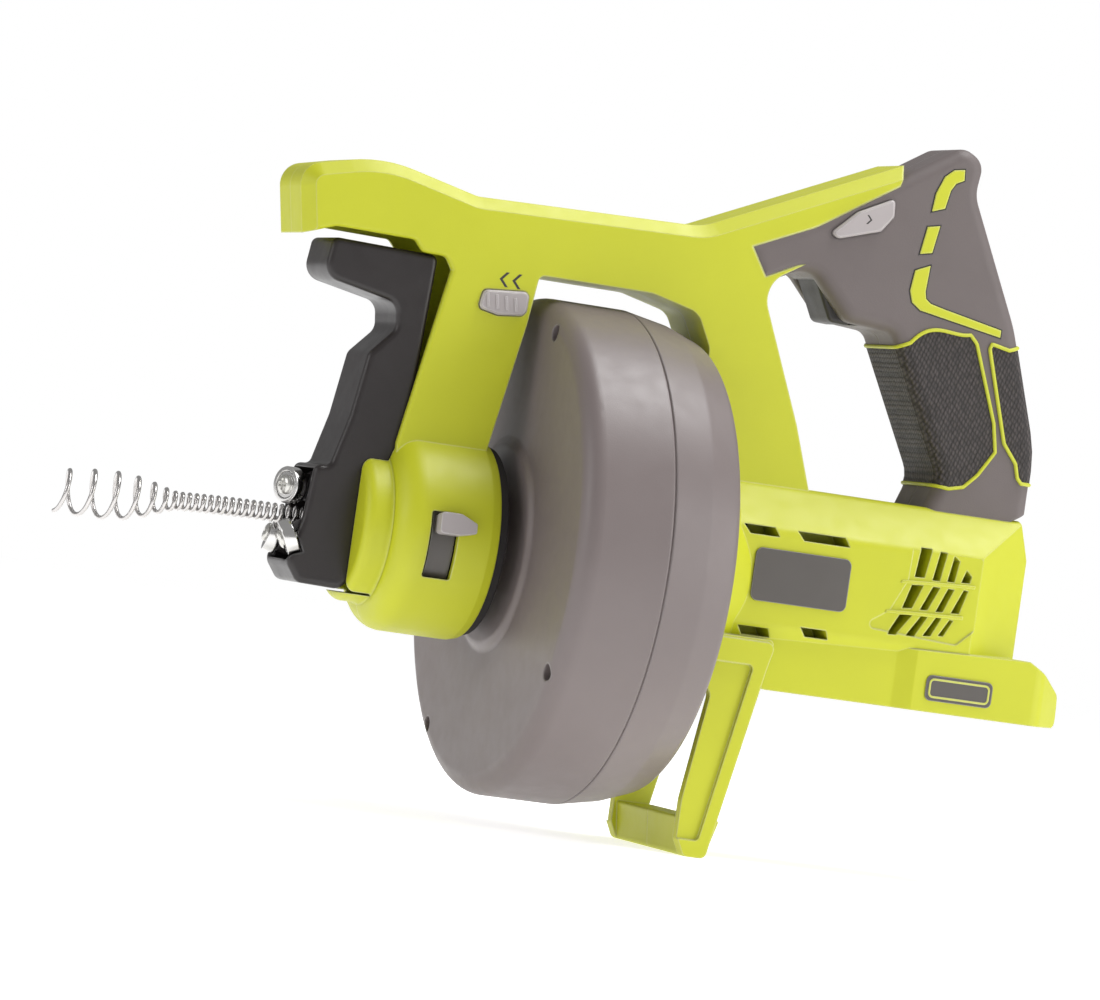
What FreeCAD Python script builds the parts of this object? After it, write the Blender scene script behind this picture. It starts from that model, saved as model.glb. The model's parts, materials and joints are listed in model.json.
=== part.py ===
"""Hand-held drum drain snake.

A green two-part housing carries a cable drum between a nose at the front and a motor barrel behind,
with a top beam over the drum and a D handle at the back. The drum turns on the X axis and pays its
spring cable out through the nose, where a squeeze lever presses two lower rollers against a third one.

Everything is drawn about the drum axis: X runs forward to the cable outlet, Y to the left and Z up,
with X = 0 at the drum's parting plane. The last step moves it so that the origin lies on the ground
under the middle of the foot. All sizes are in millimetres and degrees.
"""
import FreeCAD, Part
import math
import os
from FreeCAD import Vector

# Drum
DRUM_R = 102.5
DRUM_WALL = 3.0
DRUM_FRONT = 37.5
DRUM_REAR = 32.0
DRUM_RIM = 8.0
DRUM_SCREW_INSET = 8.0
DRUM_SCREW_R = 2.0
DRUM_HEAD_R = 3.2
DRUM_POST_R = 4.6
DRUM_SCREW_PITCH_R = DRUM_R - DRUM_SCREW_INSET
DRUM_SCREW_ANGLES = (22.0, 120.0, 214.0, 305.0)
COLLAR_R = 20.0
COLLAR_BORE_R = 15.0

# Cable and guide tube
CABLE_R = 4.0
GUIDE_BORE_R = 4.6
GUIDE_WALL = 1.4
GUIDE_BEND_R = 18.0
GUIDE_BEND_X = -2.0
COIL_INNER_R = 50.0
COIL_OUTER_R = DRUM_R - 10.5
COIL_HALF_X = 22.0
LEAD_TAIL = 22.0
LEAD_END = 174.0
TIP_END = 225.0
TIP_R = 10.7
SAG_START = 131.0
SAG_R = 850.0

# Housing
BEAM_HALF = 19.0
BODY_HALF = 37.5
WALL = 3.0
GRIP_SKIN = 2.4
HANDLE_ROUND = 5.5
BASE_BOTTOM = -43.5
BASE_HALF = 38.0
NOSE_R = 41.5
NOSE_REAR = 50.0
NOSE_FRONT = 93.0
NOSE_BORE_R = 38.8
COLLAR_RING_R = 31.5
COLLAR_RING_FRONT = 104.0
FOOT_HALF = 42.0
FOOT_X = -50.0
GROUND_GAP = 12.5
AXIS_HEIGHT = DRUM_R + GROUND_GAP
CHANNEL_HALF = 16.0

# Fits
RUNNING = 0.05
MOVING = 0.4
SLIDING = 0.25

# Gear train: sun, three planets and a fixed ring of module 1
MODULE = 1.0
SUN_TEETH = 12
PLANET_TEETH = 18
RING_TEETH = SUN_TEETH + 2 * PLANET_TEETH
PLANETS = 3
PLANET_PIN_R = 2.0
GEAR_WIDTH = 10.0
GEAR_X = -57.0

# Motor and spindle
MOTOR_R = 18.0
MOTOR_FRONT = -66.0
MOTOR_LENGTH = 58.0
SHAFT_R = 2.5
SPINDLE_R = 7.0
BEARING_R = 13.0

# Feed lever and rollers
LEVER_HALF = 15.4
PIVOT_X = 97.0
PIVOT_Z = -14.0
PIVOT_R = 2.5
PIN_HALF = 21.0
SQUEEZE = 5.5
ROLLER_R = 7.5
ROLLER_WIDTH = 5.0
ROLLER_BORE_R = 2.5
ROLLER_SKEW = 24.0
ROLLER_X = 128.0
ROLLER_GAP = 0.3

# Controls
SELECTOR_HALF = 22.0
BUTTON_HALF = 21.0
CLAMP_RING_IN = 30.0
CLAMP_RING_X = (68.5, 78.5)
CLAMP_TAB_ANGLE = 7.0
TRIGGER_HALF = 11.0
HEAD_SLOPE = 24.4

# The outlines of the beam, the handle and what sits in them are drawn for a drum of this radius.
# Their points above SHOULDER rise and fall with the real drum.
DRAWN_DRUM_R = 102.5
SHOULDER = 76.0

# Housing screws: x and z of each, all driven from the right side
SCREW_PLACES = ((118.0, 135.0), (30.0, 126.0), (-45.0, 120.0), (-127.0, 174.0), (-172.0, 92.0),
                (-78.0, -34.0), (-199.0, -32.0), (61.0, 60.0))
SCREW_R = 1.8
SCREW_HEAD_R = 3.3

# Side vents: front end, length and middle height of each slot
VENTS = ((-55.0, 16.0, 21.1), (-79.0, 23.4, 21.0), (-58.5, 15.5, -20.2), (-85.7, 13.3, -17.8))
VENT_HALF = 1.8

# Rear grille: corners of its twelve slots, row by row from the top
GRILLE = (
    ((-134.6, 23.5), (-139.7, 23.5), (-137.7, 11.3), (-133.3, 11.1)),
    ((-143.4, 22.9), (-146.6, 22.7), (-144.7, 10.8), (-141.4, 10.8)),
    ((-149.9, 21.9), (-152.6, 20.1), (-151.3, 11.1), (-148.1, 11.1)),
    ((-156.2, 16.8), (-158.8, 14.5), (-158.2, 11.6), (-154.4, 11.5)),
    ((-132.6, 7.7), (-137.8, 8.2), (-134.0, -1.8), (-129.6, -2.4)),
    ((-142.1, 8.1), (-145.4, 8.2), (-141.0, -1.8), (-137.6, -2.1)),
    ((-149.0, 8.2), (-151.8, 8.2), (-147.9, -1.7), (-144.7, -2.0)),
    ((-156.1, 8.6), (-158.1, 8.4), (-155.3, -1.4), (-151.6, -1.7)),
    ((-129.0, -5.1), (-134.6, -4.6), (-128.2, -13.6), (-124.4, -13.8)),
    ((-138.6, -4.5), (-141.6, -4.3), (-136.7, -13.2), (-132.8, -13.4)),
    ((-145.5, -4.0), (-147.9, -4.1), (-143.9, -12.3), (-140.5, -12.5)),
    ((-151.6, -4.4), (-153.2, -4.6), (-149.6, -11.6), (-147.3, -11.6)))
GRILLE_FACET = ((-131, 24.5, 2), (-153.5, 29.5, 3), (-168, 17.4, 3), (-166, -4.8, 3), (-155.5, -14.6, 3),
                (-112, -12, 2), (-124, -4, 3), (-130.5, 9.5, 3))

X_AXIS = Vector(1, 0, 0)
Y_AXIS = Vector(0, 1, 0)
Z_AXIS = Vector(0, 0, 1)


# ---------------------------------------------------------------- drawing helpers

def corner_arc(before, corner, after, radius):
    """Start, middle and end of the arc that rounds one corner of an outline."""
    here = Vector(corner[0], corner[1], 0)
    back = Vector(before[0], before[1], 0) - here
    ahead = Vector(after[0], after[1], 0) - here
    back.normalize()
    ahead.normalize()
    half = math.acos(max(-1.0, min(1.0, back.dot(ahead)))) / 2
    reach = radius / math.tan(half)
    inward = back + ahead
    inward.normalize()
    centre = here + inward * (radius / math.sin(half))
    return here + back * reach, centre - inward * radius, here + ahead * reach


def outline(corners, place):
    """Closed wire through corners (a, b) or (a, b, radius), with place(a, b) giving the 3-D point."""
    edges = []
    joints = []
    count = len(corners)
    for index, corner in enumerate(corners):
        if len(corner) > 2:
            following = corners[(index + 1) % count]
            arc = corner_arc(corners[index - 1], corner, following, corner[2])
            start, middle, end = (place(point.x, point.y) for point in arc)
            edges.append(Part.Arc(start, middle, end).toShape())
            joints.append((start, end))
        else:
            point = place(corner[0], corner[1])
            joints.append((point, point))
    for index in range(count):
        start = joints[index][1]
        end = joints[(index + 1) % count][0]
        if start.distanceToPoint(end) > 1e-6:
            edges.append(Part.LineSegment(start, end).toShape())
    return Part.Wire(Part.__sortEdges__(edges))


def lifted(x, z):
    """Point of a side outline, raised with the drum if it lies above the shoulder."""
    return (x, z + DRUM_R - DRAWN_DRUM_R) if z > SHOULDER else (x, z)


def side_slab(corners, y_low, y_high):
    """Outline in X and Z, carried along Y."""
    raised = [lifted(*corner[:2]) + tuple(corner[2:]) for corner in corners]
    wire = outline(raised, lambda x, z: Vector(x, y_low, z))
    return Part.Face(wire).extrude(Vector(0, y_high - y_low, 0))


def front_slab(corners, x_low, x_high):
    """Outline in Y and Z, carried along X."""
    wire = outline(corners, lambda y, z: Vector(x_low, y, z))
    return Part.Face(wire).extrude(Vector(x_high - x_low, 0, 0))


def plan_slab(corners, z_low, z_high):
    """Outline in X and Y, carried along Z."""
    wire = outline(corners, lambda x, y: Vector(x, y, z_low))
    return Part.Face(wire).extrude(Vector(0, 0, z_high - z_low))


def turned(corners):
    """Outline of x and radius, turned about the X axis."""
    wire = outline(corners, lambda x, r: Vector(x, 0, r))
    return Part.Face(wire).revolve(Vector(0, 0, 0), X_AXIS, 360)


def rod(radius, start, end, axis=X_AXIS, through=Vector(0, 0, 0)):
    """Cylinder along an axis, from start to end measured from the point through."""
    return Part.makeCylinder(radius, end - start, through + axis * start, axis)


def ring(outer, inner, start, end, axis=X_AXIS, through=Vector(0, 0, 0)):
    return rod(outer, start, end, axis, through).cut(rod(inner, start, end, axis, through))


def block(x_low, x_high, y_low, y_high, z_low, z_high):
    return Part.makeBox(x_high - x_low, y_high - y_low, z_high - z_low, Vector(x_low, y_low, z_low))


def fuse(shapes):
    return shapes[0].multiFuse(shapes[1:]).removeSplitter() if len(shapes) > 1 else shapes[0]


def side_edges(shape, half, keep):
    """Edges lying in the two side faces y = -half and y = +half that keep(x, z) accepts."""
    chosen = []
    for edge in shape.Edges:
        box = edge.BoundBox
        flat = box.YMax - box.YMin < 1e-3 and abs(abs(box.YMin) - half) < 1e-3
        middle = edge.valueAt((edge.FirstParameter + edge.LastParameter) / 2)
        if flat and keep(middle.x, middle.z):
            chosen.append(edge)
    return chosen


# ---------------------------------------------------------------- housing outlines

BEAM = ((142.5, 112.5), (147.3, 139.5, 9), (113, 147.8, 60), (71, 138.2, 14), (-27, 141, 25),
        (-112, 179.5), (-102, 138, 6), (-75, 133.5, 6), (-55, 121, 12), (-79, 66, 20), (-92, 30, 8),
        (-92, 8, 7), (-36, 8, 7), (-36, 92, 8), (-29, 105.5, 8), (-8, 110.5, 12), (41.5, 110.5, 3),
        (44, 90, 20), (56.5, 20, 6), (90.5, 12, 6), (91.6, 35), (78.8, 107), (82, 112, 3),
        (92, 112.3, 3), (96, 116.8, 3), (129.5, 117.3, 8))

HANDLE = ((-44.5, 137.2), (-74, 150.5, 30), (-137, 191.3, 7.5), (-147, 186, 7.5), (-145.3, 172, 14),
          (-171, 120, 60), (-187.8, 70, 50), (-187.8, 44), (-158, 27, 6), (-124, 31),
          (-140, 36.8, 10), (-146, 53, 14), (-116, 110, 6), (-95, 111.5, 8),
          (-76, 131.5, 10), (-55, 121))

BODY_SECTION = ((-19, 40.5, 6), (-37.5, 22, 6), (-37.5, -17, 4), (-33, -24, 3), (33, -24, 3), (37.5, -17, 4),
                (37.5, 22, 6), (19, 40.5, 6))

CHANNEL = ((135.5, 96), (135.5, 126, 5), (74, 126, 6), (67.5, 108, 5), (82.5, 30, 5), (85, 20), (85, -28),
           (150, -28), (150, 96))

LEVER = ((129, 113, 3), (131, 96.8, 7), (98.8, 90.6, 6), (97.5, 80, 6), (107.6, 69, 5), (111.5, 43, 20),
         (117, 22, 3), (123, 21.5, 3), (125, 0, 12), (129.5, -19, 5), (124, -26.5, 4), (106, -27, 5),
         (98.5, -19, 5), (94.5, 0, 20), (90, 21, 12), (86, 60, 20), (84, 112, 3))

TRIGGER = ((-75.5, 136, 3), (-83.5, 124, 20), (-90.3, 110.6, 3.5), (-97.9, 110.4, 3), (-109, 117.8, 3),
           (-112, 134, 3), (-100, 146, 3))

SELECTOR = ((-81, 146.4, 1.5), (-92, 157, 5), (-107.4, 164.8, 1.5), (-108, 157.2, 1.5), (-103, 150.4, 3),
            (-85, 144.8, 1.5))

BUTTON = ((66, 93.6, 2.5), (64.6, 101.3, 2.5), (45.2, 103, 2.5), (45.4, 93.2, 3), (57, 91.8, 3))

LEG = ((-74.5, -24, 3), (-72, -34, 3), (-56.5, -AXIS_HEIGHT, 3), (-47, -AXIS_HEIGHT, 3),
       (-43.5, 7 - AXIS_HEIGHT, 3), (-43.5, 23 - AXIS_HEIGHT, 6), (-49.5, -48, 5), (-41, -36, 5),
       (-41, -24, 3))


def beam_solid():
    """Front guard, top beam, strut and rear post in one plate with bevelled top edges."""
    plate = side_slab(BEAM, -BEAM_HALF, BEAM_HALF)
    top = side_edges(plate, BEAM_HALF, lambda x, z: z > DRUM_R + 34.5 and x > -100 or x > 143)
    plate = plate.makeChamfer(5.0, top)
    lower = side_edges(plate, BEAM_HALF, lambda x, z: 40 < z < DRUM_R + 9.6 and x > 76)
    return plate.makeFillet(1.6, lower)


def handle_solid(inset):
    """D handle: head over the trigger and the grip leg behind it, pulled in by inset."""
    half = BEAM_HALF + 0.6 - inset
    face = Part.Face(outline([lifted(*corner[:2]) + tuple(corner[2:]) for corner in HANDLE],
                             lambda x, z: Vector(x, -half, z)))
    if inset:
        face = face.makeOffset2D(-inset)
    plate = face.extrude(Vector(0, 2 * half, 0))
    if inset == 0:
        plate = plate.makeFillet(HANDLE_ROUND, side_edges(plate, half, lambda x, z: z > 36))
    return plate


def barrel_solid():
    """Motor barrel with its gear case in front and tapered rear corners."""
    tube = front_slab(BODY_SECTION, -192, -36)
    case = turned(((-36, 0), (-36, 50, 2), (-44, 50, 4), (-66, 34), (-66, 0)))
    rear = side_slab(((-30, 60), (-183, 44, 4), (-193, 22, 8), (-192.3, -30), (-30, -60)), -60, 60)
    plan = plan_slab(((-20, 60), (-160, 39, 12), (-194, 14, 8), (-194, -14, 8), (-160, -39, 12), (-20, -60)),
                     -80, 80)
    return fuse([tube.common(rear).common(plan), case])


def base_solid():
    """Battery base: a flat flange with a raised pad at its rear and a rounded tail."""
    tail = side_slab(((-70, -20), (-190, -17), (-213, -29.5, 4), (-215, -43.5, 4), (-71, -43.5, 5)),
                     -BASE_HALF, BASE_HALF)
    narrow = plan_slab(((-69, 34, 5), (-131, 35.5, 3), (-139, BASE_HALF, 2), (-197, BASE_HALF, 8),
                        (-215.5, 16, 10), (-215.5, -16, 10), (-197, -BASE_HALF, 8),
                        (-139, -BASE_HALF, 2), (-131, -35.5, 3), (-69, -34, 5)), -50, -10)
    return tail.common(narrow)


def nose_solid():
    """Round nose in front of the drum with a stepped collar for the lever."""
    return turned(((NOSE_REAR, 0), (NOSE_REAR, NOSE_R - 1, 1), (NOSE_REAR + 4, NOSE_R, 2),
                   (NOSE_FRONT, NOSE_R, 11), (NOSE_FRONT, COLLAR_RING_R, 1),
                   (COLLAR_RING_FRONT, COLLAR_RING_R, 4), (COLLAR_RING_FRONT, 0)))


def foot_solid():
    """Two legs and a cross bar that stand the machine up in front of its battery."""
    legs = []
    for side in (1, -1):
        low, high = sorted((side * (FOOT_HALF - 6), side * FOOT_HALF))
        leg = side_slab(LEG, low, high)
        pocket_low, pocket_high = sorted((side * (FOOT_HALF - 1.8), side * (FOOT_HALF + 1)))
        pocket = side_slab(((-66, -34, 2), (-52.5, 7 - AXIS_HEIGHT, 2), (-30, 7 - AXIS_HEIGHT, 2),
                            (-30, -34, 2)), pocket_low, pocket_high)
        legs.append(leg.cut(pocket))
    bar = side_slab(((-62.5, 16 - AXIS_HEIGHT, 1), (-58, -AXIS_HEIGHT, 2), (-47, -AXIS_HEIGHT, 2),
                     (-45, 16 - AXIS_HEIGHT, 1)), -FOOT_HALF + 5, FOOT_HALF - 5)
    bridge = side_slab(((-74, -22.9, 2), (-72.5, -31, 2), (-41, -31, 2), (-41, -22.9, 2)),
                       -FOOT_HALF + 1, FOOT_HALF - 1)
    return fuse(legs + [bar, bridge])


# ---------------------------------------------------------------- housing halves

def handle_core():
    """Hard core of the handle under the rubber, with the necks that join it to the beam and the barrel."""
    half = BEAM_HALF + 0.6 - GRIP_SKIN
    foot_neck = side_slab(((-182, 60), (-182, 22), (-151, 22), (-151, 60)), -half, half)
    beam_neck = side_slab(((-40, 134), (-62, 141), (-66, 132), (-44, 122)), -half, half)
    return fuse([handle_solid(GRIP_SKIN), foot_neck, beam_neck])


def grip_skins():
    """Outer skin of the handle, which the rubber overmould fills."""
    return handle_solid(0).cut(handle_core())


def hollows():
    """The space inside both halves, as one tool."""
    beam_room = side_slab(((62, 114, 3), (68, 132, 3), (-26, 134, 10), (-128, 181, 5), (-140, 178, 3),
                           (-140, 168, 10), (-164, 118, 40), (-180, 70, 30), (-180, 47, 5), (-152, 46, 5),
                           (-153, 60, 14), (-121, 117, 8), (-104, 121, 8), (-76, 140, 10), (-48, 126, 10),
                           (-74, 66, 20), (-84, 30, 3), (-44, 30, 3), (-44, 94, 8), (-36, 114, 10)),
                          -BEAM_HALF + GRIP_SKIN + WALL, BEAM_HALF - GRIP_SKIN - WALL)
    strut_room = side_slab(((62, 118, 3), (47, 114, 3), (49, 88, 10), (61, 34, 3), (75, 34, 3), (63, 106, 3)),
                           -BEAM_HALF + WALL, BEAM_HALF - WALL)
    channel = side_slab(CHANNEL, -CHANNEL_HALF, CHANNEL_HALF)
    nose_room = rod(NOSE_BORE_R, NOSE_REAR + 3, NOSE_FRONT - 11)
    nose_hole = rod(COLLAR_R + 4, NOSE_REAR - 1, NOSE_REAR + 4)
    outlet = rod(8.0, NOSE_FRONT - 12, NOSE_FRONT - 2)
    gear_room = rod(33.0, -62, -40)
    spindle_hole = rod(BEARING_R, -41, -35)
    motor_room = rod(21.0, -142, -61)
    stem_room = block(-185, -145, -17, 17, BASE_BOTTOM - 1, 14)
    pin_hole = rod(PIVOT_R, -PIN_HALF, PIN_HALF, Y_AXIS, Vector(PIVOT_X, 0, PIVOT_Z))
    return [beam_room, strut_room, channel, nose_room, nose_hole, outlet, gear_room, spindle_hole,
            motor_room, stem_room, pin_hole]


def clamp_slot():
    """Window in the left flank of the nose for the clamp tab."""
    return side_slab(((68, -17, 1), (80, -17, 1), (80, 9.8, 1), (68, 9.8, 1)), 30, 45)


def grille_recess():
    """Shallow facet on each flank that the rear vents are cut in."""
    deep = BODY_HALF - 0.8
    return [side_slab(GRILLE_FACET, deep, BODY_HALF + 6), side_slab(GRILLE_FACET, -BODY_HALF - 6, -deep)]


def vents():
    """Slots over and under the side plate and the slanted grille at the rear, on both sides."""
    cuts = []
    for side in (1, -1):
        low, high = sorted((side * 22, side * 44))
        for start, length, height in VENTS:
            cuts.append(side_slab(((start, height + VENT_HALF), (start - length + 2, height + VENT_HALF),
                                   (start - length, height - VENT_HALF), (start - 3, height - VENT_HALF)),
                                  low, high))
        cuts += [side_slab(slot, low, high) for slot in GRILLE]
    return cuts


def screw_places():
    return [Vector(place[0], 0, place[1]) for place in (lifted(x, z) for x, z in SCREW_PLACES)]


def screw_bosses():
    """Solid posts inside the halves round each housing screw."""
    return [rod(4.2, -BEAM_HALF + 1, BEAM_HALF - 1, Y_AXIS, place) for place in screw_places()]


def screw_holes():
    """Screw clearance in both halves and the counterbore for the head in the right one."""
    holes = []
    for place in screw_places():
        holes.append(rod(SCREW_R + RUNNING, -15, 12, Y_AXIS, place))
        holes.append(rod(SCREW_HEAD_R + SLIDING, -45, -10, Y_AXIS, place))
    return holes


def motor_cradles():
    """Rings inside the barrel that hold the motor can and the gear case."""
    return [ring(22.5, MOTOR_R, x, x + 4) for x in (-84.0, -118.0)]


def cross_wall():
    """Wall across the nose with the outlet hole for the cable, open above for the swinging lever."""
    wall = ring(NOSE_BORE_R + 1, 8.0, NOSE_FRONT - 11, NOSE_FRONT - 8)
    return wall.cut(side_slab(CHANNEL, -CHANNEL_HALF, CHANNEL_HALF))


def control_cuts():
    """Openings for the trigger, the selector and the auto-feed button."""
    pull = Vector(-math.cos(math.radians(HEAD_SLOPE)), 0, math.sin(math.radians(HEAD_SLOPE)))
    centre = Vector(sum(corner[0] for corner in TRIGGER), 0, sum(corner[1] for corner in TRIGGER))
    room = [grown(corner, centre / len(TRIGGER), 1.0) for corner in TRIGGER]
    rest = side_slab(room, -TRIGGER_HALF - MOVING, TRIGGER_HALF + MOVING)
    pulled = rest.copy()
    pulled.translate(pull * 7.0)
    halfway = rest.copy()
    halfway.translate(pull * 3.5)
    selector = side_slab([grown(corner, Vector(-95, 0, 154), SLIDING) for corner in SELECTOR], -30, 30)
    button = side_slab([grown(corner, Vector(55.5, 0, 97.3), SLIDING) for corner in BUTTON], -30, 30)
    return [rest, pulled, halfway, selector, button]


def grown(corner, centre, amount):
    """One outline corner moved away from the centre by amount in X and in Z."""
    x = corner[0] + math.copysign(amount, corner[0] - centre.x)
    z = corner[1] + math.copysign(amount, corner[1] - centre.z)
    return (x, z) + tuple(corner[2:])


def housing():
    """Both halves before they are split at y = 0."""
    shell = fuse([beam_solid(), handle_core(), barrel_solid(), base_solid(), nose_solid(),
                  foot_solid()])
    shell = shell.cut(grip_skins())
    shell = shell.cut(hollows())
    walls = fuse([motor_cradles()[0], motor_cradles()[1], cross_wall()])
    shell = fuse([shell, walls] + [boss.common(handle_free()) for boss in screw_bosses()])
    return shell.cut(screw_holes() + control_cuts() + [clamp_slot()] + grille_recess() + vents())


def handle_free():
    """Everything that screw posts may fill: all but the battery stem room and the lever channel."""
    return block(-230, 160, -17, 17, -60, 200).cut(side_slab(CHANNEL, -CHANNEL_HALF, CHANNEL_HALF))


def halves():
    shell = housing()
    left = shell.common(block(-300, 300, 0, 100, -200, 300))
    right = shell.common(block(-300, 300, -100, 0, -200, 300))
    return {"left_housing": left, "right_housing": right}


def grips():
    skin = grip_skins().cut(control_cuts() + screw_holes())
    return {"left_grip": skin.common(block(-300, 300, 0, 100, -200, 300)),
            "right_grip": skin.common(block(-300, 300, -100, 0, -200, 300))}


def side_plates():
    """Plain label plates on both flanks of the barrel, and smaller ones on the base."""
    plates = []
    badges = []
    for side in (1, -1):
        low, high = sorted((side * BODY_HALF, side * (BODY_HALF + 0.8)))
        plates.append(side_slab(((-61.5, 14.2, 3), (-104, 14.2, 3), (-104, -7.6, 3), (-61.5, -7.6, 3)),
                                low, high))
        low, high = sorted((side * BASE_HALF, side * (BASE_HALF + 0.6)))
        badges.append(side_slab(((-144.5, -28, 2.5), (-174.5, -28, 2.5), (-174.5, -38.6, 2.5),
                                 (-144.5, -38.6, 2.5)), low, high))
    return {"side_plates": Part.makeCompound(plates), "base_badges": Part.makeCompound(badges)}


def housing_screws():
    screws = []
    for place in screw_places():
        shank = rod(SCREW_R, -10, 11, Y_AXIS, place)
        head = rod(SCREW_HEAD_R, -12, -10, Y_AXIS, place)
        cross = [block(-2, 2, -12.1, -11, -0.4, 0.4), block(-0.4, 0.4, -12.1, -11, -2, 2)]
        for slot in cross:
            slot.translate(place)
        screws.append(fuse([shank, head]).cut(cross))
    return Part.makeCompound(screws)


# ---------------------------------------------------------------- drum

def around_axis(radius, angle):
    """Point at a radius from the drum axis, at an angle from straight up towards the left."""
    turn = math.radians(angle)
    return Vector(0, radius * math.sin(turn), radius * math.cos(turn))


def drum_front():
    """Front shell: a shallow bowl with a soft rim, a collar for the nose and four screw posts."""
    outer = turned(((0, 0), (0, DRUM_R - 0.6), (0.6, DRUM_R), (DRUM_FRONT, DRUM_R, DRUM_RIM),
                    (DRUM_FRONT, 44, 3), (DRUM_FRONT + 2, 41, 3), (DRUM_FRONT + 2, 0)))
    inner = turned(((-1, 0), (-1, DRUM_R - DRUM_WALL), (DRUM_FRONT - DRUM_WALL, DRUM_R - DRUM_WALL, 6),
                    (DRUM_FRONT - DRUM_WALL, 0)))
    posts = [rod(DRUM_POST_R, 0, DRUM_FRONT - 1.7, X_AXIS, around_axis(DRUM_SCREW_PITCH_R, angle))
             for angle in DRUM_SCREW_ANGLES]
    shell = fuse([outer.cut(inner)] + posts + [rod(COLLAR_R, DRUM_FRONT - DRUM_WALL, NOSE_REAR + 7)])
    holes = [rod(DRUM_SCREW_R + RUNNING, -1, 50, X_AXIS, around_axis(DRUM_SCREW_PITCH_R, angle))
             for angle in DRUM_SCREW_ANGLES]
    sinks = [rod(DRUM_HEAD_R + SLIDING, DRUM_FRONT - 9, 50, X_AXIS, around_axis(DRUM_SCREW_PITCH_R, angle))
             for angle in DRUM_SCREW_ANGLES]
    return shell.cut(holes + sinks + [rod(COLLAR_BORE_R, 0, 80)])


def drum_rear():
    """Rear shell, stepped down twice towards its back face, with the blind ends of the screw posts."""
    step = DRUM_R - 3.2
    back = DRUM_R - 8.5
    outer = turned(((0, 0), (0, DRUM_R - 0.6), (-0.6, DRUM_R), (-17.5, step, 10), (-DRUM_REAR, back, 4),
                    (-DRUM_REAR, 0)))
    inner = turned(((1, 0), (1, DRUM_R - DRUM_WALL), (-17.5, step - DRUM_WALL, 10),
                    (-DRUM_REAR + DRUM_WALL, back - DRUM_WALL, 3), (-DRUM_REAR + DRUM_WALL, 0)))
    posts = [rod(DRUM_POST_R, -14, 0, X_AXIS, around_axis(DRUM_SCREW_PITCH_R, angle))
             for angle in DRUM_SCREW_ANGLES]
    holes = [rod(DRUM_SCREW_R + RUNNING, -12.5, 1, X_AXIS, around_axis(DRUM_SCREW_PITCH_R, angle))
             for angle in DRUM_SCREW_ANGLES]
    return fuse([outer.cut(inner)] + posts).cut(holes + [rod(5.0, -40, 0)])


def drum_screws():
    screws = []
    for angle in DRUM_SCREW_ANGLES:
        place = around_axis(DRUM_SCREW_PITCH_R, angle)
        head = rod(DRUM_HEAD_R, DRUM_FRONT - 9, DRUM_FRONT - 6.5, X_AXIS, place)
        shank = rod(DRUM_SCREW_R, -11, DRUM_FRONT - 9, X_AXIS, place)
        slots = [block(DRUM_FRONT - 7.7, DRUM_FRONT - 6, -2, 2, -0.4, 0.4),
                 block(DRUM_FRONT - 7.7, DRUM_FRONT - 6, -0.4, 0.4, -2, 2)]
        for slot in slots:
            slot.translate(place)
        screws.append(fuse([head, shank]).cut(slots))
    return Part.makeCompound(screws)


def guide_path(start_x, end_z):
    """Axis of the guide tube: forward stretch, one round bend and a stretch out to the coil."""
    bend_end = Vector(GUIDE_BEND_X - GUIDE_BEND_R, 0, -GUIDE_BEND_R)
    lean = GUIDE_BEND_R * math.sin(math.radians(45))
    middle = Vector(GUIDE_BEND_X - lean, 0, -GUIDE_BEND_R + lean)
    bend = Part.Arc(Vector(GUIDE_BEND_X, 0, 0), middle, bend_end).toShape()
    drop = Part.LineSegment(bend_end, Vector(bend_end.x, 0, end_z)).toShape()
    if start_x <= GUIDE_BEND_X:
        return [bend, drop]
    return [Part.LineSegment(Vector(start_x, 0, 0), Vector(GUIDE_BEND_X, 0, 0)).toShape(), bend, drop]


def pipe(radius, edges):
    """Round bar along a chain of edges."""
    path = Part.Wire(edges)
    start = edges[0].Vertexes[0].Point
    heading = edges[0].tangentAt(edges[0].FirstParameter)
    section = Part.Wire([Part.makeCircle(radius, start, heading)])
    return path.makePipeShell([section], True, True)


def guide_tube():
    outer = pipe(GUIDE_BORE_R + GUIDE_WALL, guide_path(DRUM_FRONT + 8, -COIL_INNER_R + 1))
    inner = pipe(GUIDE_BORE_R, guide_path(DRUM_FRONT + 9, -COIL_INNER_R))
    return outer.cut(inner)


def cable_coil():
    """Wound cable in the drum as one ring, with the turn that leads inwards to the guide tube."""
    wound = ring(COIL_OUTER_R, COIL_INNER_R, -COIL_HALF_X, COIL_HALF_X)
    posts = [rod(7.5, -40, 40, X_AXIS, around_axis(DRUM_SCREW_PITCH_R, angle)) for angle in DRUM_SCREW_ANGLES]
    bend = pipe(CABLE_R, guide_path(GUIDE_BEND_X, -COIL_INNER_R - 1))
    return fuse([wound.cut(posts), bend])


def drum_pieces():
    spindle = fuse([rod(SPINDLE_R, -44, -DRUM_REAR), ring(16, 1, -DRUM_REAR - 2, -DRUM_REAR),
                    rod(5.0, -DRUM_REAR - 1, -DRUM_REAR + 6)])
    return {"drum_front_shell": drum_front(), "drum_rear_shell": drum_rear(), "drum_screws": drum_screws(),
            "guide_tube": guide_tube(), "cable_coil": cable_coil(), "drum_spindle": spindle,
            "guide_hub": ring(COLLAR_BORE_R, GUIDE_BORE_R + GUIDE_WALL, DRUM_FRONT - 2, DRUM_FRONT + 6)}


# ---------------------------------------------------------------- gear train and motor

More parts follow.
